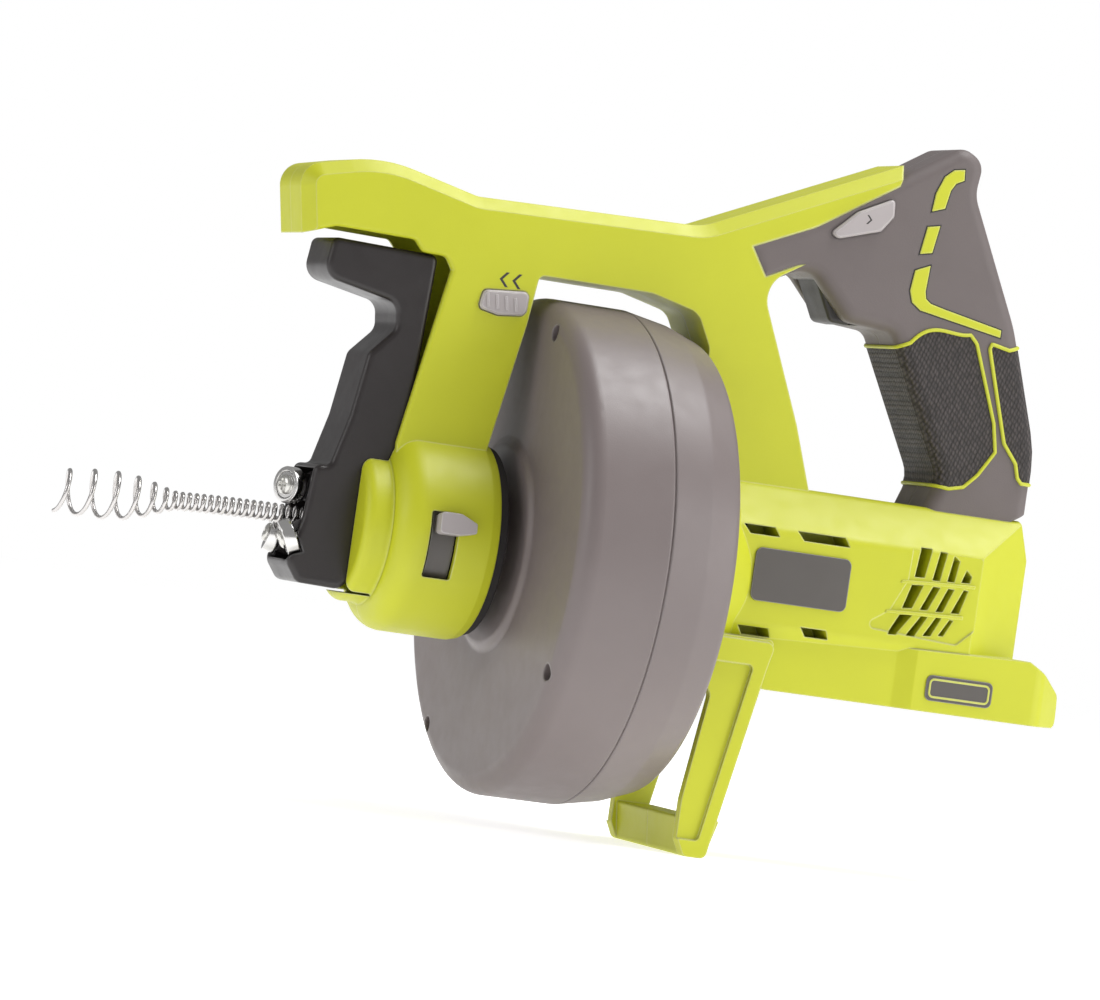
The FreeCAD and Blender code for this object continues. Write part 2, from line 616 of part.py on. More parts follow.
def gear_outline(teeth, inward):
    """Closed outline of a spur gear with straight-flanked teeth, or of an internal ring's bore."""
    pitch_r = MODULE * teeth / 2
    pitch_angle = 2 * math.pi / teeth
    tip_r = pitch_r - 0.8 * MODULE if inward else pitch_r + 0.8 * MODULE
    root_r = pitch_r + 1.2 * MODULE if inward else pitch_r - 1.2 * MODULE
    points = []
    for tooth in range(teeth):
        middle = tooth * pitch_angle
        for radius, share in ((root_r, -0.33), (tip_r, -0.11), (tip_r, 0.11), (root_r, 0.33)):
            angle = middle + share * pitch_angle
            points.append((radius * math.sin(angle), radius * math.cos(angle)))
    return points


def spur_gear(teeth, bore_r, centre, phase):
    """Gear on a centre given as a Y-Z vector; phase turns it about its own axis, in degrees."""
    gear = front_slab(gear_outline(teeth, False), GEAR_X, GEAR_X + GEAR_WIDTH)
    gear = gear.cut(rod(bore_r, GEAR_X - 1, GEAR_X + GEAR_WIDTH + 1))
    gear.rotate(Vector(0, 0, 0), X_AXIS, phase)
    gear.translate(centre)
    return gear


def planet_places():
    distance = MODULE * (SUN_TEETH + PLANET_TEETH) / 2
    angles = [index * 360.0 / PLANETS for index in range(PLANETS)]
    return [(angle, around_axis(distance, angle)) for angle in angles]


def gear_pieces():
    gap_turn = 180.0 / PLANET_TEETH
    pieces = {"sun_pinion": spur_gear(SUN_TEETH, SHAFT_R, Vector(0, 0, 0), 0)}
    pins = []
    for index, (angle, centre) in enumerate(planet_places()):
        gear = spur_gear(PLANET_TEETH, PLANET_PIN_R + RUNNING, centre, gap_turn - angle)
        pieces["planet_gear_%d" % (index + 1)] = gear
        pins.append(rod(PLANET_PIN_R, -58, -44, X_AXIS, centre))
    rim = rod(29.0, GEAR_X - 1, GEAR_X + GEAR_WIDTH + 1)
    bore = front_slab(gear_outline(RING_TEETH, True), GEAR_X - 2, GEAR_X + GEAR_WIDTH + 2)
    pieces["ring_gear"] = rim.cut(bore)
    pieces["gearbox_case"] = ring(32.8, 29.0, -61.5, -40.2)
    pieces["planet_pins"] = Part.makeCompound(pins)
    holes = [rod(PLANET_PIN_R, -50, -40, X_AXIS, centre) for _, centre in planet_places()]
    pieces["planet_carrier"] = rod(19.0, -45.5, -41.5).cut(holes + [rod(SPINDLE_R, -44, -30)])
    pieces["rear_bearing"] = ring(BEARING_R, SPINDLE_R + RUNNING, -40.5, -36)
    pieces["front_bearing"] = ring(COLLAR_R + 4, COLLAR_R + RUNNING, NOSE_REAR - 0.5, NOSE_REAR + 6)
    return pieces


def motor_pieces():
    rear = MOTOR_FRONT - MOTOR_LENGTH
    can = ring(MOTOR_R, MOTOR_R - 1.5, rear, MOTOR_FRONT)
    plate = rod(MOTOR_R - 1.5, MOTOR_FRONT - 3, MOTOR_FRONT).cut(rod(6, MOTOR_FRONT - 4, MOTOR_FRONT + 1))
    boss = ring(6, SHAFT_R + RUNNING, MOTOR_FRONT - 3, MOTOR_FRONT + 3)
    cap = rod(MOTOR_R - 1.5, rear, rear + 4).cut(rod(SHAFT_R + RUNNING, rear - 1, rear + 6))
    shaft = rod(SHAFT_R, rear - 6, GEAR_X + GEAR_WIDTH)
    core = ring(12.5, SHAFT_R, rear + 12, MOTOR_FRONT - 10)
    for index in range(5):
        groove = block(rear + 11, MOTOR_FRONT - 9, -1, 1, 7, 14)
        groove.rotate(Vector(0, 0, 0), X_AXIS, 72 * index)
        core = core.cut(groove)
    commutator = ring(6, SHAFT_R, rear + 5, rear + 12)
    magnets = []
    for side in (1, -1):
        arc = ring(MOTOR_R - 1.5, 13.2, rear + 10, MOTOR_FRONT - 8)
        low, high = sorted((side * 3, side * 30))
        magnets.append(arc.common(block(rear, MOTOR_FRONT, low, high, -30, 30)))
    fan = [ring(6, SHAFT_R, MOTOR_FRONT - 8.5, MOTOR_FRONT - 3.5)]
    for index in range(8):
        blade = block(MOTOR_FRONT - 8, MOTOR_FRONT - 4, -0.6, 0.6, 5, 15)
        blade.rotate(Vector(0, 0, 0), X_AXIS, 45 * index)
        fan.append(blade)
    mount = ring(20.8, 6 + 0.1, MOTOR_FRONT, MOTOR_FRONT + 3)
    brushes = [block(rear + 6, rear + 10, low, low + 7, -2.5, 2.5) for low in (6.2, -13.2)]
    return {"motor_can": can, "motor_front_plate": fuse([plate, boss]), "motor_end_cap": cap,
            "motor_shaft": shaft, "armature": fuse([core, commutator]), "cooling_fan": fuse(fan),
            "motor_magnets": Part.makeCompound(magnets), "motor_mount": mount,
            "motor_brushes": Part.makeCompound(brushes)}


# ---------------------------------------------------------------- nose, lever and rollers

def skewed(angle):
    """Axis and radial direction of a roller at an angle round the cable, from straight up."""
    radial = around_axis(1.0, angle)
    across = radial.cross(X_AXIS)
    skew = math.radians(ROLLER_SKEW)
    return X_AXIS * math.cos(skew) + across * math.sin(skew), radial


def roller_centre(angle, lowered):
    """Centre of a roller that just clears the cable; lowered ones hang open on the resting lever."""
    centre = Vector(ROLLER_X, 0, 0) + skewed(angle)[1] * (CABLE_R + ROLLER_R + ROLLER_GAP)
    if lowered:
        turn = math.radians(SQUEEZE)
        x = centre.x - PIVOT_X
        z = centre.z - PIVOT_Z
        centre = Vector(PIVOT_X + x * math.cos(turn) + z * math.sin(turn), centre.y,
                        PIVOT_Z - x * math.sin(turn) + z * math.cos(turn))
    return centre


ROLLERS = (("upper", 0.0, False), ("left", 120.0, True), ("right", -120.0, True))


def roller_axis(angle, lowered):
    axis = skewed(angle)[0]
    if lowered:
        turn = math.radians(SQUEEZE)
        axis = Vector(axis.x * math.cos(turn) + axis.z * math.sin(turn), axis.y,
                      axis.z * math.cos(turn) - axis.x * math.sin(turn))
    return axis


def roller_pieces():
    pieces = {}
    fixed = {False: [], True: []}
    half = ROLLER_WIDTH / 2
    for name, angle, lowered in ROLLERS:
        centre = roller_centre(angle, lowered)
        axis = roller_axis(angle, lowered)
        race = ring(ROLLER_R, 5.4 + RUNNING, -half, half, axis, centre)
        pieces[name + "_roller"] = race.makeFillet(0.5, [edge for edge in race.Edges
                                                         if abs(edge.Length - 2 * math.pi * ROLLER_R) < 0.01])
        inner = ring(5.4, ROLLER_BORE_R, -half, half, axis, centre)
        head = rod(4.0, half, half + 1.9, axis, centre)
        head = head.makeFillet(1.2, [head.Edges[index] for index in (0,)])
        shank = rod(ROLLER_BORE_R, -half - 6, half, axis, centre)
        slot_a = block(-1.9, 1.9, -0.45, 0.45, -1.2, 1.2)
        slot_b = block(-0.45, 0.45, -1.9, 1.9, -1.2, 1.2)
        turn = FreeCAD.Rotation(Z_AXIS, axis)
        cuts = []
        for slot in (slot_a, slot_b):
            slot.Placement = FreeCAD.Placement(centre + axis * (half + 1.9), turn)
            cuts.append(slot)
        fixed[lowered].append((inner, fuse([head, shank]).cut(cuts)))
    for place, lowered in (("upper", False), ("lower", True)):
        pieces[place + "_roller_inner"] = Part.makeCompound([inner for inner, _ in fixed[lowered]])
        pieces[place + "_roller_screw"] = Part.makeCompound([screw for _, screw in fixed[lowered]])
    return pieces


def roller_stub(name, angle, lowered, length):
    """Short round post behind a roller, bored for its screw."""
    centre = roller_centre(angle, lowered)
    axis = roller_axis(angle, lowered)
    rear = -ROLLER_WIDTH / 2 - MOVING
    return (fuse([rod(5.6, rear - length, rear - 0.2, axis, centre),
                  rod(3.6, rear - 0.3, -ROLLER_WIDTH / 2, axis, centre)]),
            rod(ROLLER_BORE_R, -ROLLER_WIDTH / 2 - 6, 10, axis, centre))


def roller_boss():
    """Fixed arm that reaches out of the nose over the cable and carries the upper roller."""
    arm = side_slab(((NOSE_FRONT - 8, 6.5), (NOSE_FRONT - 8, 19, 1), (118, 19, 3), (121.5, 14, 3),
                     (121.5, 6.5)), -7.5, 7.5)
    stub, bore = roller_stub(*ROLLERS[0], 9)
    clear = rod(CABLE_R + 1.2, 80, 140)
    return fuse([arm, stub]).cut([bore, clear])


def feed_lever():
    """Black squeeze lever: head block, finger notch, thumb-wide web and two cheeks round the cable."""
    plate = side_slab(LEVER, -LEVER_HALF, LEVER_HALF)
    plate = plate.makeFillet(2.2, side_edges(plate, LEVER_HALF, lambda x, z: x > 91.5 and z > -25.5))
    window = side_slab(((70, -18, 2), (70, 20, 2), (140, 20, 2), (140, -18, 2)), -12.6, 12.6)
    pocket = side_slab(((80, 24, 2), (80, 106, 3), (92, 106, 3), (92, 90, 6), (99, 66, 5), (106, 24, 2)),
                       -12.6, 12.6)
    pin_place = Vector(PIVOT_X, 0, PIVOT_Z)
    pin_hole = rod(PIVOT_R + RUNNING, -30, 30, Y_AXIS, pin_place)
    spring_room = rod(5.6, -9.5, 9.5, Y_AXIS, pin_place)
    cuts = [window, pocket, pin_hole, spring_room]
    for _, angle, lowered in ROLLERS[1:]:
        axis = roller_axis(angle, lowered)
        centre = roller_centre(angle, lowered)
        cuts.append(rod(ROLLER_R + 0.8, -ROLLER_WIDTH / 2 - 0.8, 14, axis, centre))
        cuts.append(rod(ROLLER_BORE_R, -ROLLER_WIDTH / 2 - 7, 0, axis, centre))
    return plate.cut(cuts)


def roller_carrier():
    """Saddle on the lever's lower lip with a post for each lower roller."""
    saddle = side_slab(((108, -18), (108, -9, 2), (119.5, -5, 2), (121, -18)), -12.5, 12.5)
    parts = [saddle]
    bores = []
    for name, angle, lowered in ROLLERS[1:]:
        stub, bore = roller_stub(name, angle, lowered, 7)
        parts.append(stub)
        bores.append(bore)
    clear = rod(CABLE_R + 3.6, 80, 140)
    sides = block(100, 140, -12.5, 12.5, -18, 30)
    return fuse(parts).common(sides).cut(bores + [clear])


def lever_pieces():
    pin = rod(PIVOT_R, -PIN_HALF, PIN_HALF, Y_AXIS, Vector(PIVOT_X, 0, PIVOT_Z))
    through = Vector(PIVOT_X, 0, PIVOT_Z)
    spring = ring(5.0, PIVOT_R + 0.6, -9, 9, Y_AXIS, through)
    grooves = [ring(6, 4.2, -9 + step * 2.0, -8.2 + step * 2.0, Y_AXIS, through) for step in range(9)]
    return {"feed_lever": feed_lever(), "roller_carrier": roller_carrier(), "lever_pin": pin,
            "lever_spring": spring.cut(grooves), "roller_boss": roller_boss()}


def clamp_pieces():
    low, high = CLAMP_RING_X
    band = ring(NOSE_BORE_R - MOVING, CLAMP_RING_IN, low, high)
    tab = side_slab(((low + 0.6, -4.4, 1), (low - 6, -3, 1), (low - 6, 1, 1), (low + 1, 4.2, 1.5),
                     (high - 0.6, 4.2, 1.5), (high - 0.6, -4.4, 1.5)), NOSE_R + MOVING, NOSE_R + 6)
    neck = block(low + 1.2, high - 1.2, NOSE_BORE_R - 2, NOSE_R + 1, -3.4, 3.4)
    lever = fuse([neck.cut(rod(NOSE_BORE_R - MOVING, 0, 200)), tab])
    lever.rotate(Vector(0, 0, 0), X_AXIS, CLAMP_TAB_ANGLE)
    bore = GUIDE_BORE_R + MOVING
    collet = turned(((64, bore), (64, 9), (70, 11), (78.2, 11, 1), (79.2, 8), (79.2, bore)))
    cuts = [block(68, 90, -0.6, 0.6, -20, 20), block(68, 90, -20, 20, -0.6, 0.6)]
    spokes = block(low + 2, high - 1.5, -26, 26, -3, 3).cut(rod(11.0, low, high))
    spider = fuse([ring(CLAMP_RING_IN, 25, low + 1, high - 1), spokes])
    bush = turned(((NOSE_FRONT - 13, GUIDE_BORE_R), (NOSE_FRONT - 13, 10), (NOSE_FRONT - 11, 10),
                   (NOSE_FRONT - 11, 8), (NOSE_FRONT - 8, 8), (NOSE_FRONT - 8, GUIDE_BORE_R)))
    gasket = turned(((46, 34), (46, 38.5, 1), (NOSE_REAR, 39.5), (NOSE_REAR, 34)))
    return {"clamp_ring": band, "clamp_tab": lever, "clamp_collet": collet.cut(cuts), "clamp_spider": spider,
            "outlet_bush": bush, "nose_gasket": gasket}


def cable_pieces():
    """Cable from the guide tube to its bulb tip, which sags a little past the rollers."""
    slope = math.asin((LEAD_END - SAG_START) / SAG_R)
    points = [Vector(SAG_START + SAG_R * math.sin(turn), 0, SAG_R * (math.cos(turn) - 1))
              for turn in (0, slope / 2, slope)]
    straight = Part.LineSegment(Vector(LEAD_TAIL, 0, 0), points[0]).toShape()
    lead = pipe(CABLE_R, [straight, Part.Arc(*points).toShape()])
    tip = turned(((LEAD_END, 0), (LEAD_END, CABLE_R), (LEAD_END + 12, TIP_R - 1.8, 10), (200, TIP_R, 12),
                  (TIP_END, TIP_R - 1.3, 1), (TIP_END, 0)))
    tip.translate(points[2] - Vector(LEAD_END, 0, 0))
    tip.rotate(points[2], Y_AXIS, math.degrees(slope))
    return {"cable_lead": lead, "auger_tip": tip}


# ---------------------------------------------------------------- controls and wiring

def control_pieces():
    trigger = side_slab(TRIGGER, -TRIGGER_HALF, TRIGGER_HALF)
    trigger = trigger.makeFillet(1.8, side_edges(trigger, TRIGGER_HALF, lambda x, z: z < 130))
    selector = side_slab(SELECTOR, -SELECTOR_HALF, SELECTOR_HALF)
    selector = selector.makeChamfer(0.8, side_edges(selector, SELECTOR_HALF, lambda x, z: True))
    button = side_slab(BUTTON, -BUTTON_HALF, BUTTON_HALF)
    button = button.makeChamfer(0.8, side_edges(button, BUTTON_HALF, lambda x, z: True))
    room_half = BEAM_HALF - GRIP_SKIN - WALL
    switch = block(-144, -127, -room_half, room_half, DRUM_R + 27.5, DRUM_R + 47.5)
    slope = math.radians(HEAD_SLOPE)
    spring_place = Vector(-112.5, 0, DRUM_R + 35.5)
    plunger = ring(3.0, 1.6, 0, 6.5, Vector(-math.cos(slope), 0, math.sin(slope)), spring_place)
    return {"trigger": trigger, "direction_selector": selector, "autofeed_button": button,
            "switch_body": switch, "trigger_spring": plunger}


def battery_pieces():
    terminal = block(-182, -150, -13, 13, 8, 14)
    blades = [block(-172, -158, y - 0.4, y + 0.4, -4, 8) for y in (-8.0, 0.0, 8.0)]
    return {"terminal_block": terminal, "battery_contacts": Part.makeCompound(blades)}


def build():
    nodes = {}
    for group in (halves, grips, side_plates, drum_pieces, gear_pieces, motor_pieces, roller_pieces,
                  lever_pieces, clamp_pieces, cable_pieces, control_pieces, battery_pieces):
        nodes.update(group())
    nodes["housing_screws"] = housing_screws()
    return nodes


os.makedirs("parts", exist_ok=True)
for name, shape in build().items():
    shape.translate(Vector(-FOOT_X, 0, AXIS_HEIGHT))
    shape.exportStep("parts/%s.step" % name)
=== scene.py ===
"""Looks of a hand-held drum drain snake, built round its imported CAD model."""
import bpy
import json
import math
import bmesh
import numpy as np
from mathutils import Matrix, Vector


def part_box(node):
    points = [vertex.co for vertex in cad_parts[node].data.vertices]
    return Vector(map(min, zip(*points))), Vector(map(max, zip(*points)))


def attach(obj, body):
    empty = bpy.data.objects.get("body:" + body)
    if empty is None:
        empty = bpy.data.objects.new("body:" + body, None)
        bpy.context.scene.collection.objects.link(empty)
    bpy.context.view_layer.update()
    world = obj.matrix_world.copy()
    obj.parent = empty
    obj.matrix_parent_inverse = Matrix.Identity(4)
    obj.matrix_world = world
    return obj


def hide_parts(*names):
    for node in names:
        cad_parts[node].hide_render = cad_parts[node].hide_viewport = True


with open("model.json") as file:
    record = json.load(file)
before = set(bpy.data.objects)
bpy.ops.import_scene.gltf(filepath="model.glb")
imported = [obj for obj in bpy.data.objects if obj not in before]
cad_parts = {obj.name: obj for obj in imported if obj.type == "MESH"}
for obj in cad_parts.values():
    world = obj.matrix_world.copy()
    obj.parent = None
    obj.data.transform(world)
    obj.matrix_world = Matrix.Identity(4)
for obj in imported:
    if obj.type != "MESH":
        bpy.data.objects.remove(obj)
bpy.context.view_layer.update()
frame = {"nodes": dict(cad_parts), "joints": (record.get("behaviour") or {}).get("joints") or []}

# ---------------------------------------------------------------- housing halves
# Two glass-filled nylon shells, injection moulded in lime green and screwed together on the machine's
# middle plane. The mould leaves a fine spark-eroded grain, soft edges and a hairline seam on top.
nodes = frame["nodes"]
drum_low, drum_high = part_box("drum_front_shell")
AXIS = np.array([drum_low.x, (drum_low.y + drum_high.y) / 2, (drum_low.z + drum_high.z) / 2])


# The edge mask, which places the painted highlight along edges, starts and is full where the rounded
# normal makes these cosines with the face's own, which is 6 and 31 degrees away from it.
EDGE_STARTS = 0.995
EDGE_FULL = 0.86


def edge_group():
    """Normal rounded over the sharp edges, and a mask of how far it turns there from the face."""
    group = bpy.data.node_groups.new("soft edges", "ShaderNodeTree")
    group.interface.new_socket("Radius", in_out="INPUT", socket_type="NodeSocketFloat")
    group.interface.new_socket("Normal", in_out="OUTPUT", socket_type="NodeSocketVector")
    group.interface.new_socket("Edge", in_out="OUTPUT", socket_type="NodeSocketFloat")
    make, link = group.nodes.new, group.links.new
    given, result = make("NodeGroupInput"), make("NodeGroupOutput")
    bevel, face, dot, span = (make("ShaderNodeBevel"), make("ShaderNodeNewGeometry"),
                              make("ShaderNodeVectorMath"), make("ShaderNodeMapRange"))
    bevel.samples = 6
    dot.operation = "DOT_PRODUCT"
    span.inputs["From Min"].default_value = EDGE_STARTS
    span.inputs["From Max"].default_value = EDGE_FULL
    link(given.outputs["Radius"], bevel.inputs["Radius"])
    link(bevel.outputs["Normal"], dot.inputs[0])
    link(face.outputs["Normal"], dot.inputs[1])
    link(dot.outputs["Value"], span.inputs["Value"])
    link(span.outputs["Result"], result.inputs["Edge"])
    link(bevel.outputs["Normal"], result.inputs["Normal"])
    return group


# Noise cells per metre of the patches in which a moulding's shade and its gloss vary
MOTTLE_SCALE = 38.0
GLOSS_SCALE = 120.0


def grain_group():
    """Mould grain: a fine noise as a height, and two broad noises that vary shade and gloss."""
    group = bpy.data.node_groups.new("mould grain", "ShaderNodeTree")
    group.interface.new_socket("Size", in_out="INPUT", socket_type="NodeSocketFloat")
    for out in ("Height", "Mottle", "Gloss"):
        group.interface.new_socket(out, in_out="OUTPUT", socket_type="NodeSocketFloat")
    make, link = group.nodes.new, group.links.new
    given, result, place = make("NodeGroupInput"), make("NodeGroupOutput"), make("ShaderNodeTexCoord")
    inverse = make("ShaderNodeMath")
    inverse.operation = "DIVIDE"
    inverse.inputs[0].default_value = 1.0
    link(given.outputs["Size"], inverse.inputs[1])
    for out, scale, detail in (("Height", None, 2.0), ("Mottle", MOTTLE_SCALE, 3.0),
                               ("Gloss", GLOSS_SCALE, 2.0)):
        noise = make("ShaderNodeTexNoise")
        noise.inputs["Detail"].default_value = detail
        link(place.outputs["Object"], noise.inputs["Vector"])
        if scale is None:
            link(inverse.outputs[0], noise.inputs["Scale"])
        else:
            noise.inputs["Scale"].default_value = scale
        link(noise.outputs["Fac"], result.inputs[out])
    return group


SOFT_EDGES = edge_group()
MOULD_GRAIN = grain_group()
# Share of a finish's lift that its painted edge highlight reaches where the edge mask is full
EDGE_HIGHLIGHT = 0.8


def finish(name, colour, roughness, grain=0.0004, depth=0.00004, edge=0.0006, lift=0.12, metal=0.0,
           spread=0.05, gloss_spread=0.10):
    """Surface finish: a base colour that wanders by spread, a painted highlight that lightens the edges by
    lift over a width of edge, and a grain of the given size and depth. Lengths are in metres."""
    material = bpy.data.materials.new(name)
    material.use_nodes = True
    tree = material.node_tree
    shader = tree.nodes["Principled BSDF"]
    shader.inputs["Metallic"].default_value = metal
    edges, grains = tree.nodes.new("ShaderNodeGroup"), tree.nodes.new("ShaderNodeGroup")
    edges.node_tree, grains.node_tree = SOFT_EDGES, MOULD_GRAIN
    edges.inputs["Radius"].default_value = edge
    grains.inputs["Size"].default_value = grain
    base, edge_lit = tree.nodes.new("ShaderNodeMix"), tree.nodes.new("ShaderNodeMix")
    gloss, amount = tree.nodes.new("ShaderNodeMapRange"), tree.nodes.new("ShaderNodeMath")
    bump = tree.nodes.new("ShaderNodeBump")
    base.data_type = edge_lit.data_type = "RGBA"
    tint = np.array(colour)
    base.inputs["A"].default_value = (*(tint * (1 - spread)), 1)
    base.inputs["B"].default_value = (*np.minimum(tint * (1 + spread), 1), 1)
    # Painted highlight: the edges are lightened towards white by lift
    edge_lit.inputs["B"].default_value = (*(tint + (1 - tint) * lift), 1)
    gloss.inputs["To Min"].default_value = roughness - gloss_spread
    gloss.inputs["To Max"].default_value = roughness + gloss_spread
    amount.operation = "MULTIPLY"
    amount.inputs[1].default_value = EDGE_HIGHLIGHT
    bump.inputs["Strength"].default_value = 1.0
    bump.inputs["Distance"].default_value = depth
    link = tree.links.new
    link(grains.outputs["Mottle"], base.inputs["Factor"])
    link(base.outputs["Result"], edge_lit.inputs["A"])
    link(edges.outputs["Edge"], amount.inputs[0])
    link(amount.outputs[0], edge_lit.inputs["Factor"])
    link(edge_lit.outputs["Result"], shader.inputs["Base Color"])
    link(grains.outputs["Gloss"], gloss.inputs["Value"])
    link(gloss.outputs["Result"], shader.inputs["Roughness"])
    link(grains.outputs["Height"], bump.inputs["Height"])
    link(edges.outputs["Normal"], bump.inputs["Normal"])
    link(bump.outputs["Normal"], shader.inputs["Normal"])
    return material


def wear(material, *names):
    """Puts a finish on CAD nodes in place of their own."""
    for name in names:
        slots = nodes[name].data.materials
        if not slots:
            slots.append(material)
        for index in range(len(slots)):
            slots[index] = material


# The lime finish carries a strong painted highlight along its edges (lift 0.30)
GREEN = finish("lime nylon", (0.500, 0.522, 0.014), 0.46, lift=0.30, edge=0.0010, spread=0.03)
wear(GREEN, "left_housing", "right_housing")

# ---------------------------------------------------------------- drum shells
# Two shallow bowls of warm grey polypropylene, screwed rim to rim, with soft rims and a fine seam
# between them. The outer faces carry a slightly coarser grain than the housing.
DRUM_GREY = finish("warm grey shell", (0.168, 0.139, 0.136), 0.42, grain=0.0005, lift=0.10, edge=0.0012)
wear(DRUM_GREY, "drum_front_shell", "drum_rear_shell")

# ---------------------------------------------------------------- housing and drum screws
# Black-oxide pan head screws with a cross recess, sunk in counterbores.
SCREW_BLACK = finish("black oxide", (0.05, 0.048, 0.047), 0.38, metal=0.8, lift=0.25, edge=0.0003)
wear(SCREW_BLACK, "drum_screws", "housing_screws")

# ---------------------------------------------------------------- nose gasket
# A black rubber wiper ring that closes the gap between the nose and the turning drum.
SEAL_BLACK = finish("seal rubber", (0.018, 0.016, 0.016), 0.62, grain=0.0003)
wear(SEAL_BLACK, "nose_gasket")

# ---------------------------------------------------------------- feed lever and roller carrier
# The squeeze lever is one thick black nylon moulding with soft edges, and the trigger a duller one.
# The roller carrier, the fixed boss over the cable and the black pieces inside have a rougher face.
LEVER_BLACK = finish("black nylon", (0.017, 0.013, 0.013), 0.36, grain=0.0005, lift=0.10, edge=0.0014)
TRIGGER_BLACK = finish("matt black nylon", (0.030, 0.026, 0.025), 0.52, grain=0.0004, edge=0.0008)
wear(LEVER_BLACK, "feed_lever")
wear(TRIGGER_BLACK, "trigger")
CARRIER_BLACK = finish("rough black nylon", (0.028, 0.024, 0.024), 0.5, grain=0.0004, depth=0.00006)
wear(CARRIER_BLACK, "roller_carrier", "roller_boss", "motor_end_cap", "terminal_block", "switch_body",
     "cooling_fan", "gearbox_case")

# ---------------------------------------------------------------- rubber overmould
# Soft grey rubber moulded over the handle in one shot per half. It has a fine matt grain, varies a
# little in tone and carries a painted highlight along its edges.
RUBBER = finish("grip rubber", (0.128, 0.106, 0.103), 0.55, grain=0.00045, depth=0.00007, lift=0.10,
                edge=0.0020, spread=0.08)
wear(RUBBER, "left_grip", "right_grip")

# ---------------------------------------------------------------- light grey controls
# Direction selector, auto-feed button and clamp tab, moulded in light grey acetal with a low sheen.
CONTROL_GREY = finish("light grey acetal", (0.38, 0.345, 0.345), 0.36, grain=0.0004, depth=0.00002,
                      lift=0.4, edge=0.0008, spread=0.02)
wear(CONTROL_GREY, "direction_selector", "autofeed_button", "clamp_tab")

# ---------------------------------------------------------------- label plates
# Blank dark grey polycarbonate plates let into the barrel's flanks and the battery base. The clamp's
# ring, which shows in its window, has the same colour.
PLATE_GREY = finish("plate grey", (0.085, 0.076, 0.070), 0.34, grain=0.0003, lift=0.35, edge=0.0006)
wear(PLATE_GREY, "side_plates", "base_badges", "clamp_ring")

# ---------------------------------------------------------------- gear train, motor and shafts
# Machined and pressed steel pieces inside the barrel and the nose, nylon guides for the cable, and
# the motor's copper contacts and ferrite magnets. Most of them are hidden when the machine is closed.
STEEL = finish("machined steel", (0.50, 0.49, 0.48), 0.30, grain=0.0006, depth=0.00001, metal=1.0)
wear(STEEL, "lever_pin", "lever_spring", "trigger_spring", "drum_spindle", "planet_carrier", "planet_pins",
     "motor_shaft", "motor_can", "motor_front_plate", "motor_mount", "ring_gear", "sun_pinion",
     "planet_gear_1", "planet_gear_2", "planet_gear_3", "armature", "clamp_collet", "clamp_spider",
     "front_bearing", "rear_bearing")
NYLON = finish("natural nylon", (0.72, 0.69, 0.62), 0.45)
wear(NYLON, "guide_tube", "guide_hub", "outlet_bush")
COPPER = finish("tinned copper", (0.72, 0.42, 0.25), 0.3, metal=1.0)
wear(COPPER, "battery_contacts", "motor_brushes")
MAGNET = finish("ferrite", (0.12, 0.12, 0.13), 0.55)
wear(MAGNET, "motor_magnets")

# ---------------------------------------------------------------- spring cable and bulb tip
# One length of bright spring steel wire, wound as an open coil. Past the cable the same wire opens
# out into a bulb of wide turns that catches hair and roots. It sags a little under its own weight.
MM = 0.001


def place(x, y, z):
    """Point given in millimetres about the drum axis, as metres in the row frame."""
    return AXIS + MM * np.stack(np.broadcast_arrays(x, y, z), axis=-1)


def skin(name, grid, material, body, stands_for=(), round_across=True, round_along=False, sharp=40):
    """Mesh piece from a grid of points (rows, columns, 3), wrapped across its columns or along its rows."""
    rows, columns = grid.shape[:2]
    index = np.arange(rows * columns).reshape(rows, columns)
    if round_across:
        index = np.concatenate([index, index[:, :1]], axis=1)
    if round_along:
        index = np.concatenate([index, index[:1]], axis=0)
    quads = np.stack([index[:-1, :-1], index[1:, :-1], index[1:, 1:], index[:-1, 1:]], axis=-1)
    faces = quads.reshape(-1, 4).tolist()
    if round_across and not round_along:
        faces += [index[0, :-1].tolist(), index[-1, :-1].tolist()]
    mesh = bpy.data.meshes.new(name)
    mesh.from_pydata(grid.reshape(-1, 3).tolist(), [], faces)
    cleaner = bmesh.new()
    cleaner.from_mesh(mesh)
    bmesh.ops.remove_doubles(cleaner, verts=cleaner.verts, dist=2e-7)
    bmesh.ops.dissolve_degenerate(cleaner, dist=1e-7, edges=cleaner.edges)
    bmesh.ops.recalc_face_normals(cleaner, faces=cleaner.faces)
    cleaner.to_mesh(mesh)
    cleaner.free()
    mesh.polygons.foreach_set("use_smooth", np.ones(len(mesh.polygons), bool))
    mesh.set_sharp_from_angle(angle=math.radians(sharp))
    mesh.materials.append(material)
    piece = bpy.data.objects.new(name, mesh)
    bpy.context.scene.collection.objects.link(piece)
    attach(piece, body)
    if stands_for:
        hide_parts(*stands_for)
    return piece


CABLE_STEEL = finish("bright spring steel", (0.60, 0.58, 0.57), 0.24, grain=0.0003, depth=0.00002,
                     metal=1.0, spread=0.10)
wear(CABLE_STEEL, "cable_coil")
lead_low, lead_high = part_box("cable_lead")
tip_low, tip_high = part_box("auger_tip")
WIRE_R = 0.9
CABLE_R = (lead_high.y - lead_low.y) / 2 / MM
LEAD_START = (lead_low.x - AXIS[0]) / MM
LEAD_END = (lead_high.x - AXIS[0]) / MM
TIP_END = (tip_high.x - AXIS[0]) / MM
CABLE_PITCH = 3.0
WIRE_SIDES = 10

# Where the cable leaves the rollers and starts to sag, and the radius that it bends to
SAG_START = 131.0
SAG_R = 850.0


def sag(x):
    """Height of the cable's middle: level, then an arc of radius SAG_R, then straight on past the lead."""
    slope = (LEAD_END - SAG_START) / SAG_R
    curved = np.clip(x - SAG_START, 0, LEAD_END - SAG_START)
    return -curved ** 2 / (2 * SAG_R) - slope * np.maximum(x - LEAD_END, 0)


